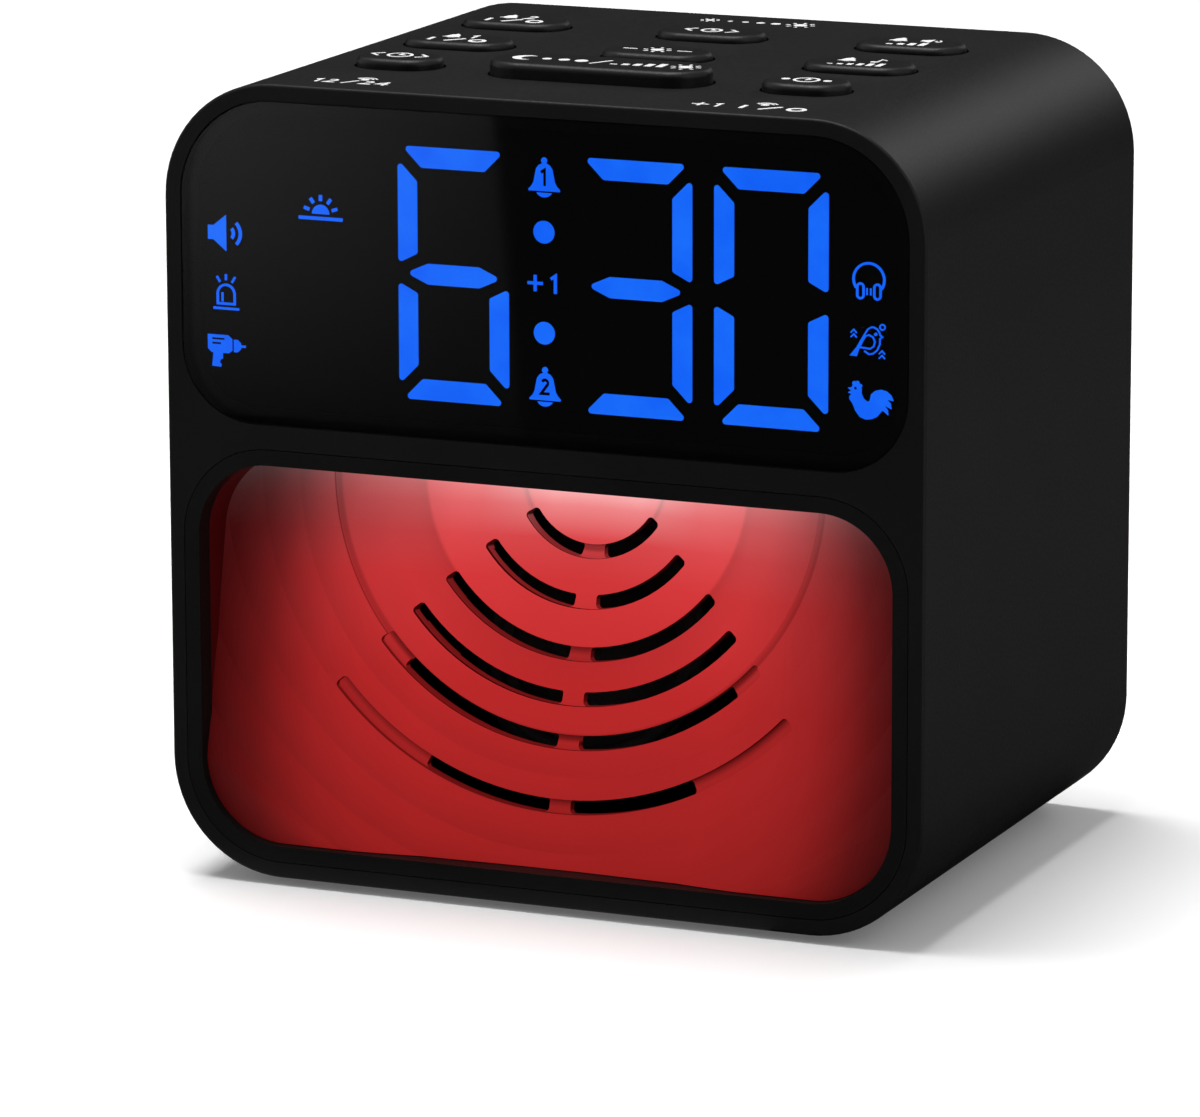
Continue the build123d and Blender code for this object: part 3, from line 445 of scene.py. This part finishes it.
def bar(points, width, closed=False):
    """The outline of a line of even width through points, with mitred corners and square ends."""
    points = [Vector(point) for point in points]
    if closed:
        points.append(points[0])
    last = len(points) - 1
    left, right = [], []
    for index, point in enumerate(points):
        before = points[index - 1] if index else points[last - 1]
        after = points[index + 1] if index < last else points[1]
        incoming = (point - before).normalized() if index or closed else (after - point).normalized()
        outgoing = (after - point).normalized() if index < last or closed else incoming
        middle = (incoming + outgoing).normalized()
        side = Vector((-middle.y, middle.x))
        reach = width / 2 / max(middle.dot(incoming), MITRE_LIMIT)
        left.append(tuple(point + side * reach))
        right.append(tuple(point - side * reach))
    return left + right[::-1]


def box(x0, y0, x1, y1):
    return [(x0, y0), (x1, y0), (x1, y1), (x0, y1)]


def hoop(x, y, radius, width):
    return bar(disc(x, y, radius), width, closed=True)


def moved(outlines, x, y, scale=1.0):
    return [[(x + u * scale, y + v * scale) for u, v in outline] for outline in outlines]


def mirrored(half):
    """A closed outline from its right-hand half, listed from top to bottom."""
    return half + [(-u, v) for u, v in reversed(half)]


def rays_around(angles, y, begin, end, width):
    """Short bars that point away from a middle at height y."""
    rays = []
    for angle in angles:
        c, s = math.cos(math.radians(angle)), math.sin(math.radians(angle))
        rays.append(bar([(begin * c, y + begin * s), (end * c, y + end * s)], width))
    return rays


def figure_one(height, width):
    h = height / 2
    return [bar([(-0.45 * h, 0.55 * h), (0.05 * h, h - width / 3), (0.05 * h, -h)], width)]


def figure_two(height, width):
    h = height / 2
    top = arc(0, 0.45 * h, 0.55 * h - width / 2, 165, -35, 14)
    return [bar(top + [(-0.5 * h, -h + width / 2), (0.6 * h, -h + width / 2)], width)]


def figure_four(height, width):
    h = height / 2
    foot = bar([(0.25 * h, -h), (0.25 * h, h)], width)
    arm = bar([(0.25 * h, h - width / 2), (-0.6 * h, -0.35 * h), (0.65 * h, -0.35 * h)], width)
    return [foot, arm]


def plus(size, width):
    return [bar([(-size / 2, 0), (size / 2, 0)], width), bar([(0, -size / 2), (0, size / 2)], width)]


def bell():
    dome = [
        (0.25, 1.78), (0.72, 1.55), (1.05, 1.1), (1.22, 0.3),
        (1.38, -0.5), (1.65, -1.0), (2.05, -1.4), (2.05, -1.62),
    ]
    clapper = arc(0, -1.2, 1.18, 212, 328, 16)
    return [mirrored(dome), disc(0, 2.12, 0.38), clapper]


def loudspeaker():
    horn = [(-2.35, -0.88), (-1.6, -0.88), (0.1, -2.25), (0.1, 2.25), (-1.6, 0.88), (-2.35, 0.88)]
    waves = [bar(arc(0.2, 0, radius, -half, half), 0.42) for radius, half in ((0.9, 42), (1.85, 46))]
    return [horn, *waves]


def siren():
    dome = [(-1.15, -1.4), *arc(0, -0.18, 1.15, 180, 0, 18), (1.15, -1.4)]
    shine = bar([(-0.5, -1.15), (-0.5, 0.0)], 0.26)
    rays = [bar([(0.0, 1.55), (0.0, 2.3)], 0.28)]
    rays += [bar([(side * 0.8, 1.28), (side * 1.25, 2.0)], 0.28) for side in (-1, 1)]
    return [bar(dome, 0.3, closed=True), shine, box(-1.75, -2.15, 1.75, -1.85), *rays]


def drill():
    case = [(-2.45, 0.3), (-1.95, -0.2), (0.4, -0.2), (0.85, 0.15), (0.85, 1.6), (0.3, 2.05), (-2.45, 2.05)]
    grip = [
        (-1.9, -1.9), (-0.7, -1.95), (-0.65, -1.65), (-0.9, -1.4),
        (-0.75, -1.05), (-0.45, -0.95), (-0.45, -0.2), (-1.7, -0.2),
    ]
    chuck = [(1.1, 0.0), (1.6, 0.0), (2.05, 0.4), (2.05, 1.15), (1.6, 1.55), (1.1, 1.55)]
    return [case, grip, chuck, box(2.05, 0.63, 2.7, 0.92)]


def drill_cuts():
    return [box(-1.9, 1.42, -0.15, 1.68), box(-1.9, 0.85, -0.65, 1.11)]


def headphones():
    band = bar(arc(0, 0.35, 1.95, -34, 214, 32), 0.3)
    cups = []
    for side in (-1, 1):
        ring = arc(side * 1.08, -0.6, 0.4, 0, 180, 10) + arc(side * 1.08, -1.58, 0.4, 180, 360, 10)
        cups.append(bar(ring, 0.28, closed=True))
    stripes = [box(x - 0.09, -1.55, x + 0.09, -0.7) for x in (-0.24, 0.24)]
    return [band, *cups, *stripes]


def bird():
    back = [
        (-1.4, -0.75), (-0.45, 0.9), (-0.1, 1.45), (0.3, 1.7),
        (0.65, 1.73), (1.1, 1.52), (1.38, 1.1), (1.45, 0.85),
    ]
    breast = [
        (1.75, 0.6), (1.45, 0.4), (1.42, -0.3), (1.1, -1.0), (0.6, -1.45), (0.05, -1.58), (-0.55, -1.2),
    ]
    wing = [
        (-1.15, -0.8), (-0.8, -0.05), (-0.4, 0.6), (0.05, 0.76),
        (0.55, 0.52), (0.8, 0.0), (0.65, -0.58), (0.2, -0.9),
    ]
    tail = [(-2.4, -1.85), (-1.5, -1.9), (-1.15, -0.85), (-1.45, -0.7)]
    calls = [
        bar([(x - 0.38, y - 0.4), (x, y), (x + 0.38, y - 0.4)], 0.16)
        for x, y in ((-1.9, 1.3), (-1.9, 0.75), (1.7, -1.05), (1.7, -1.6))
    ]
    ring = hoop(1.75, 1.8, 0.32, 0.18)
    return [bar(back + breast, 0.19), bar(wing, 0.19, closed=True), tail, disc(0.9, 0.9, 0.2), ring, *calls]


def rooster():
    neck = [
        (-2.1, 1.5), (-1.95, 1.85), (-1.6, 1.95), (-1.2, 1.7),
        (-0.85, 1.4), (-0.88, 0.8), (-0.6, 0.2), (-0.1, -0.15),
    ]
    tail = [
        (0.2, 0.05), (0.35, 0.8), (0.85, 1.25), (1.6, 1.45), (2.35, 1.28),
        (2.95, 0.8), (3.2, 0.2), (2.35, 0.3), (2.85, -0.15), (2.95, -0.8),
        (2.0, -0.4), (2.5, -1.0), (2.55, -1.6), (1.85, -1.05), (1.6, -1.3),
    ]
    belly = [
        (1.1, -1.9), (0.45, -2.2), (-0.3, -2.3), (-1.05, -2.05), (-1.65, -1.3), (-2.0, -0.45), (-2.4, 0.05),
    ]
    face = [(-2.4, 0.42), (-2.15, 0.65), (-2.6, 0.85), (-2.2, 1.08), (-2.6, 1.4)]
    comb = [disc(-1.8, 2.0, 0.25), disc(-1.4, 2.05, 0.26), disc(-1.05, 1.72, 0.25)]
    return [neck + tail + belly + face, *comb]


def rooster_cuts():
    return [disc(-1.65, 1.4, 0.19)]


def sunrise():
    middle = -0.85
    half_sun = arc(0, middle, 1.15, 0, 180, 24)
    rays = rays_around((18, 54, 90, 126, 162), middle, 1.6, 2.35, 0.42)
    return [half_sun, box(-2.95, -1.62, 2.95, -1.2), *rays]


def sun(radius):
    rays = rays_around(range(0, 360, 45), 0, 1.5 * radius, 2.2 * radius, 0.32 * radius + 0.08)
    return [disc(0, 0, radius), *rays]


def moon(radius):
    inner = arc(0.55 * radius, 0, 0.85 * radius, 235, 125, 16)
    return [arc(0, 0, radius, 55, 305, 28) + inner]


def clock(radius, width, hour):
    """A dial with two hands, the short one pointing at hour."""
    angle = math.radians(90 - 30 * hour)
    short = (0.5 * radius * math.cos(angle), 0.5 * radius * math.sin(angle))
    return [hoop(0, 0, radius, width), bar([(0, 0.72 * radius), (0, 0), short], width)]


def chevron(size, width, side):
    return [bar([(-side * size / 2, size), (side * size / 2, 0), (-side * size / 2, -size)], width)]


def on_off(width):
    """A bar, a stroke and a ring, the plain marks for on and off."""
    return [
        bar([(-2.4, -0.75), (-2.4, 0.75)], width),
        bar([(-0.75, -0.85), (0.75, 0.85)], width),
        hoop(2.3, 0, 0.68, width),
    ]


def steps(count, pitch, width):
    """Upright bars that grow from left to right."""
    return [box(i * pitch, -0.8, i * pitch + width, -0.8 + 1.6 * (i + 1) / count) for i in range(count)]


def dots(count, pitch, least, growth):
    return [disc(step * pitch, 0, least + growth * step) for step in range(count)]


def note(size):
    head = disc(-0.25 * size, -0.6 * size, 0.32 * size)
    stem = bar([(0, -0.6 * size), (0, 0.8 * size), (0.55 * size, 0.4 * size)], 0.18 * size)
    return [head, stem]


def press_mark():
    """A fingertip dot under two arcs."""
    arcs = [bar(arc(0, -0.45, radius, rest, 180 - rest), 0.22) for radius, rest in ((0.85, 20), (1.25, 30))]
    return [disc(0, -0.45, 0.45), *arcs]


def twin(outlines, reach, width):
    """A sign between a pair of chevrons that point away from it."""
    ends = moved(chevron(1.2, width, -1), -reach, 0) + moved(chevron(1.2, width, 1), reach, 0)
    return outlines + ends


def polarity():
    """A power socket's sign: a dot in an open ring between a minus and a plus."""
    width = 0.32
    ring = bar(arc(0, 0, 1.15, 45, 315), width)
    leads = [bar([(begin, 0), (end, 0)], width) for begin, end in ((0.3, 2.2), (-2.2, -1.1), (-3.7, -2.5))]
    return [disc(0, 0, 0.42), ring, *leads, *moved(plus(1.3, width), 3.15, 0)]


def shaking_pad():
    """A round pad between arcs."""
    arcs = []
    for middle in (0, 180):
        arcs += [bar(arc(0, 0, radius, middle - 38, middle + 38), 0.36) for radius in (2.0, 2.8)]
    return [disc(0, 0, 1.25), *arcs]


def charging():
    """A battery with a bolt in it."""
    can = bar(box(-1.35, -2.2, 1.35, 1.8), 0.32, closed=True)
    bolt = [(0.3, 1.2), (-0.75, -0.35), (-0.05, -0.35), (-0.3, -1.6), (0.75, 0.05), (0.05, 0.05)]
    return [can, box(-0.55, 1.9, 0.55, 2.4), bolt]


# Thin plates from flat shapes

INSIDE_ONLY = 1
MERGE_DISTANCE = 1e-5


def anticlockwise(outline):
    """The outline turned so that it runs anticlockwise."""
    area = sum(a[0] * b[1] - b[0] * a[1] for a, b in zip(outline, outline[1:] + outline[:1]))
    return outline if area > 0 else outline[::-1]


def flat(outlines, cuts):
    """The union of the outlines less the cuts, as points and triangles."""
    points, faces = [], []
    for outline in [*outlines, *cuts]:
        faces.append(list(range(len(points), len(points) + len(outline))))
        points += [Vector(point) for point in anticlockwise(outline)]
    filled = delaunay_2d_cdt(points, [], faces, INSIDE_ONLY, MERGE_DISTANCE)
    points, _, triangles, _, _, sources = filled
    kept = []
    for triangle, source in zip(triangles, sources):
        inside = any(index < len(outlines) for index in source)
        cut = any(index >= len(outlines) for index in source)
        if inside and not cut:
            kept.append(list(triangle))
    return points, kept


def plate(name, outlines, where, depth, material, body, cuts=()):
    """A thin closed plate standing on a plane: where maps millimetres on the plane to the frame."""
    points, triangles = flat(outlines, list(cuts))
    used = sorted({index for triangle in triangles for index in triangle})
    order = {index: position for position, index in enumerate(used)}
    triangles = [[order[index] for index in triangle] for triangle in triangles]
    count = len(used)
    corners = [where @ Vector((*points[index], depth)) for index in used]
    corners += [where @ Vector((*points[index], 0.0)) for index in used]
    edges = {(a, b) for triangle in triangles for a, b in zip(triangle, triangle[1:] + triangle[:1])}
    faces = triangles + [[index + count for index in reversed(triangle)] for triangle in triangles]
    faces += [[b, a, a + count, b + count] for a, b in edges if (b, a) not in edges]
    mesh = bpy.data.meshes.new(name)
    mesh.from_pydata(corners, [], faces)
    mesh.materials.append(material)
    piece = bpy.data.objects.new(name, mesh)
    bpy.context.scene.collection.objects.link(piece)
    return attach(piece, body)


def on_plane(x, y, z, across, up):
    """A map from millimetres on a plane to the frame: across the plane, up it and out of it."""
    across, up = Vector(across) * MM, Vector(up) * MM
    outward = across.cross(up).normalized() * MM
    turn = Matrix((across, up, outward)).transposed().to_4x4()
    return Matrix.Translation((x, y, z)) @ turn


# Symbols behind the lens, at places in millimetres across and up

SYMBOL_DEPTH = 0.15
LEFT_X, MIDDLE_X, RIGHT_X = -42.8, 0.1, 42.0
display_plane = on_plane(0, block_low.y, 0, (1, 0, 0), (0, 0, 1))


def symbol(name, outlines, x, z, cuts=()):
    shapes, holes = moved(outlines, x, z), moved(cuts, x, z)
    return plate(name, shapes, display_plane, SYMBOL_DEPTH, looks["lit_blue"], CASE, holes)


plus_one = moved(plus(2.0, 0.38), -1.35, 0) + moved(figure_one(2.3, 0.38), 1.25, 0)
symbol("symbol_sunrise", sunrise(), -29.7, 85.9)
symbol("symbol_loudspeaker", loudspeaker(), LEFT_X + 0.12, 81.85)
symbol("symbol_siren", siren(), LEFT_X + 0.12, 74.4)
symbol("symbol_drill", drill(), LEFT_X, 67.0, cuts=drill_cuts())
symbol("symbol_bell_one", bell(), MIDDLE_X, 91.4, cuts=moved(figure_one(2.1, 0.4), 0, 0.05))
symbol("symbol_bell_two", bell(), MIDDLE_X, 65.7, cuts=moved(figure_two(2.1, 0.4), 0, 0.05))
symbol("symbol_plus_one", plus_one, MIDDLE_X + 0.1, 78.45)
symbol("symbol_headphones", headphones(), RIGHT_X, 81.5)
symbol("symbol_bird", bird(), RIGHT_X, 74.4)
symbol("symbol_rooster", rooster(), RIGHT_X, 67.2, cuts=rooster_cuts())


# Marks printed on the buttons, on the top and on the rear

PRINT_DEPTH = 0.04
LINE = 0.38
FIGURE = 2.4
ROW = 1.5
REAR_MARK_RISE = 8.5 * MM


def mark(name, outlines, cap=None, x=0.0, y=0.0):
    """A print on a button's cap, or on the top of the case at a place in millimetres."""
    if cap:
        low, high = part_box(f"{cap}_cap")
        middle = (low + high) / 2
        where = on_plane(middle.x, middle.y, high.z, (1, 0, 0), (0, 1, 0))
        body = f"{cap}_button"
    else:
        where = on_plane(x * MM, y * MM, shell_high.z, (1, 0, 0), (0, 1, 0))
        body = CASE
    return plate(name, outlines, where, PRINT_DEPTH, print_white, body)


def rear_mark(name, outlines, socket):
    """A print on the rear cover above a socket."""
    low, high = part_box(socket)
    middle = (low + high) / 2
    where = on_plane(middle.x, shell_high.y, middle.z + REAR_MARK_RISE, (-1, 0, 0), (0, 0, 1))
    return plate(name, outlines, where, PRINT_DEPTH, print_white, CASE)


def numbered_bell(figure):
    """A small bell and its number over the marks for on and off."""
    small_bell = moved(bell(), -1.4, ROW, 0.6)
    return small_bell + moved(figure(FIGURE, LINE), 1.5, ROW) + moved(on_off(LINE), 0, -ROW, 1.35)


loud_bell = moved(bell(), -2.0, ROW, 0.6)
mark("print_hour", twin(clock(1.5, LINE, 3), 3.1, LINE), "hour")
mark("print_minute", clock(1.5, LINE, 1) + moved(dots(2, 5.4, 0.55, 0.0), -2.7, 0), "minute")
night = moved(moon(1.7), -10.0, 0) + moved(dots(3, 2.3, 0.6, 0.12), -7.2, 0)
slash = [bar([(-0.9, -1.6), (0.9, 1.6)], LINE)]
day = moved(steps(5, 1.0, 0.6), 1.6, 0, 1.5) + moved(sun(0.9), 11.2, 0)
mark("print_snooze", night + slash + day, "snooze")
beams = [bar([(-4.6, 0), (-2.7, 0)], LINE), bar([(2.7, 0), (4.6, 0)], LINE)]
mark("print_light", sun(0.85) + beams, "light")
mark("print_alarm_one", numbered_bell(figure_one), "alarm_one")
mark("print_alarm_two", numbered_bell(figure_two), "alarm_two")
sound_steps = moved(steps(6, 0.9, 0.5), -3.4, -ROW, 1.4)
mark("print_sound", loud_bell + moved(note(1.5), 2.0, ROW) + sound_steps, "sound")
volume_steps = moved(steps(4, 1.0, 0.6), -2.5, -ROW, 1.4)
mark("print_volume", loud_bell + moved(loudspeaker(), 2.2, ROW, 0.58) + volume_steps, "volume")
mark("print_time_set", twin(clock(1.25, LINE, 3), 2.9, LINE), "time_set")

front_row = shell_low.y / MM + 5.4
back_row = shell_high.y / MM - 5.6
touch = moved(press_mark(), 0.9, 2.6, 1.2)
twelve = moved(figure_one(FIGURE, LINE), -4.4, 0) + moved(figure_two(FIGURE, LINE), -2.6, 0)
twenty_four = moved(figure_two(FIGURE, LINE), 2.2, 0) + moved(figure_four(FIGURE, LINE), 4.3, 0)
stroke = [bar([(-0.9, -1.2), (0.5, 1.2)], LINE)]
mark("print_hours_kind", twelve + stroke + twenty_four + touch, x=-27.0, y=front_row)
summer = moved(plus(2.2, LINE), -6.6, 0) + moved(figure_one(FIGURE, LINE), -4.3, 0)
mark("print_summer_time", summer + moved(on_off(LINE), 2.4, 0, 1.45) + touch, x=25.6, y=front_row)
dimming = moved(sun(0.6), -6.0, 0) + moved(dots(4, 2.1, 0.35, 0.1), -3.2, 0) + moved(sun(0.9), 6.5, 0)
mark("print_dimmer", dimming, x=0.0, y=back_row)

rear_mark("print_power", polarity(), "power_jack")
rear_mark("print_shaker", shaking_pad(), "shaker_jack")
rear_mark("print_charging", charging(), "usb_port_shell")


# Stage: a floor, and cards that show only in the case's and the lens's gloss

FLOOR_SIZE = 6.0
FLOOR_GLOW, FAR_GLOW = 0.1, 0.75
NEAR, FAR = 0.9, 1.8
CARD_Y = -0.3
CARD_LEAN = -0.0961
CARD_EDGE = -0.1170
CARD_GLOW = 0.06
CARD_RISE = (0.0, 0.055, 0.07, 0.61)
CARD_ACROSS = (-0.17, -0.12, 1.3, 0.42)
FLAG_Z = 0.001


def seen(tree):
    """1 for a ray from the camera, a mirror or a see-through surface, and 0 for light that spreads."""
    path = add(tree, "ShaderNodeLightPath").outputs
    shown = path["Is Camera Ray"]
    for kind in ("Is Glossy Ray", "Is Transmission Ray"):
        shown = calc(tree, "MAXIMUM", shown, path[kind])
    return shown


def make_floor_material():
    """A pale floor that turns white far from the object."""
    made, tree = start("pale_floor")
    where = place(tree)
    away = vector_calc(tree, "LENGTH", "Value", {0: where})
    glow = spread(tree, away, NEAR, FAR, FLOOR_GLOW, FAR_GLOW)
    shader = add(tree, "ShaderNodeBsdfPrincipled", {
        "Base Color": patches(tree, where, 3.0, 2.0, grey(0.95), grey(0.98)),
        "Roughness": 0.9,
        "Specular IOR Level": 0.0,
        "Emission Color": WHITE,
        "Emission Strength": calc(tree, "MULTIPLY", seen(tree), glow),
    })
    finish_material(tree, shader.outputs["BSDF"])
    return made


def make_card_material():
    """A dark card whose left part holds a soft grey light, brighter towards its top left."""
    made, tree = start("card")
    at = parts(tree, place(tree))
    edge = calc(tree, "MULTIPLY_ADD", at["Z"], CARD_LEAN, CARD_EDGE)
    beyond = calc(tree, "LESS_THAN", at["X"], edge)
    up = spread(tree, at["Z"], *CARD_RISE)
    across = spread(tree, at["X"], *CARD_ACROSS)
    lit = calc(tree, "MULTIPLY_ADD", calc(tree, "MULTIPLY", up, across), beyond, CARD_GLOW)
    shader = add(tree, "ShaderNodeEmission", {"Color": WHITE, "Strength": lit})
    finish_material(tree, shader.outputs["Emission"])
    return made


def make_flag_material(name, dark, light):
    made, tree = start(name)
    shade = patches(tree, place(tree), 2.0, 2.0, grey(dark), grey(light))
    finish_material(tree, add(tree, "ShaderNodeBsdfDiffuse", {"Color": shade}).outputs["BSDF"])
    return made


def lying(x0, x1, y0, y1, z):
    return [(x0, y0, z), (x1, y0, z), (x1, y1, z), (x0, y1, z)]


def upright(x0, x1, y, height):
    return [(x0, y, 0.0), (x1, y, 0.0), (x1, y, height), (x0, y, height)]


def stage_plane(name, corners, material):
    mesh = bpy.data.meshes.new(name)
    mesh.from_pydata(corners, [], [list(range(len(corners)))])
    mesh.materials.append(material)
    piece = bpy.data.objects.new(name, mesh)
    bpy.context.scene.collection.objects.link(piece)
    return piece


def gloss_card(name, corners, material):
    """A stage piece that only mirror-like rays meet."""
    piece = stage_plane(name, corners, material)
    piece.visible_camera = False
    piece.visible_diffuse = False
    piece.visible_shadow = False
    piece.visible_transmission = False


stage_plane("floor", lying(-FLOOR_SIZE, FLOOR_SIZE, -FLOOR_SIZE, FLOOR_SIZE, 0), make_floor_material())
black_flag = make_flag_material("black_flag", 0.01, 0.02)
gloss_card("front_card", upright(-0.6, 0.3, CARD_Y, 0.3), make_card_material())
gloss_card("back_flag", upright(-2.6, 0.9, 0.7, 0.9), black_flag)
gloss_card("front_flag", lying(-0.6, 0.1, CARD_Y, -0.042, FLAG_Z), black_flag)
gloss_card("side_flag", lying(0.09, 0.7, -0.05, 0.7, FLAG_Z), make_flag_material("grey_flag", 0.13, 0.15))
gloss_card("foot_flag", lying(0.03, 0.09, -0.05, 0.7, FLAG_Z), make_flag_material("foot_grey", 0.08, 0.09))


# Lamps and world

LIT_MIDDLE = (0.0, 0.0, 0.05)
WORLD_LIGHT = 0.27


def lamp(name, position, width, height, power):
    """An area lamp aimed at the middle of the object."""
    data = bpy.data.lights.new(name, "AREA")
    data.shape = "RECTANGLE"
    data.size = width
    data.size_y = height
    data.energy = power
    made = bpy.data.objects.new(name, data)
    made.location = position
    made.rotation_euler = (Vector(LIT_MIDDLE) - Vector(position)).to_track_quat("-Z", "Y").to_euler()
    bpy.context.scene.collection.objects.link(made)


lamp("key", (-0.18, 0.02, 1.3), 0.7, 0.7, 18.0)
lamp("fill", (0.9, -0.4, 0.7), 0.6, 0.6, 1.2)
lamp("rim", (0.32, 1.3, 0.65), 0.6, 0.5, 2.9)

world = bpy.data.worlds.new("studio")
bpy.context.scene.world = world
world.use_nodes = True
sky = world.node_tree
sky.nodes.clear()
brightness = spread(sky, seen(sky), 0.0, 1.0, WORLD_LIGHT, 1.0)
air = add(sky, "ShaderNodeBackground", {"Color": WHITE, "Strength": brightness})
add(sky, "ShaderNodeOutputWorld", {"Surface": air.outputs["Background"]})


# Camera

IMAGE_WIDTH = 1200
FOCAL_PIXELS = 7250.0
CAMERA_PLACE = (0.34322, -0.82706, 0.23617)
yaw, pitch, roll = math.radians(23.007), math.radians(12.536), math.radians(-0.155)
right = Vector((math.cos(yaw), math.sin(yaw), 0))
ahead = Vector((-math.sin(yaw) * math.cos(pitch), math.cos(yaw) * math.cos(pitch), -math.sin(pitch)))
up = right.cross(ahead)
right, up = right * math.cos(roll) + up * math.sin(roll), up * math.cos(roll) - right * math.sin(roll)
camera_data = bpy.data.cameras.new("camera")
camera_data.sensor_fit = "HORIZONTAL"
camera_data.sensor_width = 36.0
camera_data.lens = camera_data.sensor_width * FOCAL_PIXELS / IMAGE_WIDTH
camera = bpy.data.objects.new("camera", camera_data)
bpy.context.scene.collection.objects.link(camera)
turn = Matrix((right, up, -ahead)).transposed().to_4x4()
camera.matrix_world = Matrix.Translation(CAMERA_PLACE) @ turn
bpy.context.scene.camera = camera

bpy.context.scene.view_settings.view_transform = "Standard"
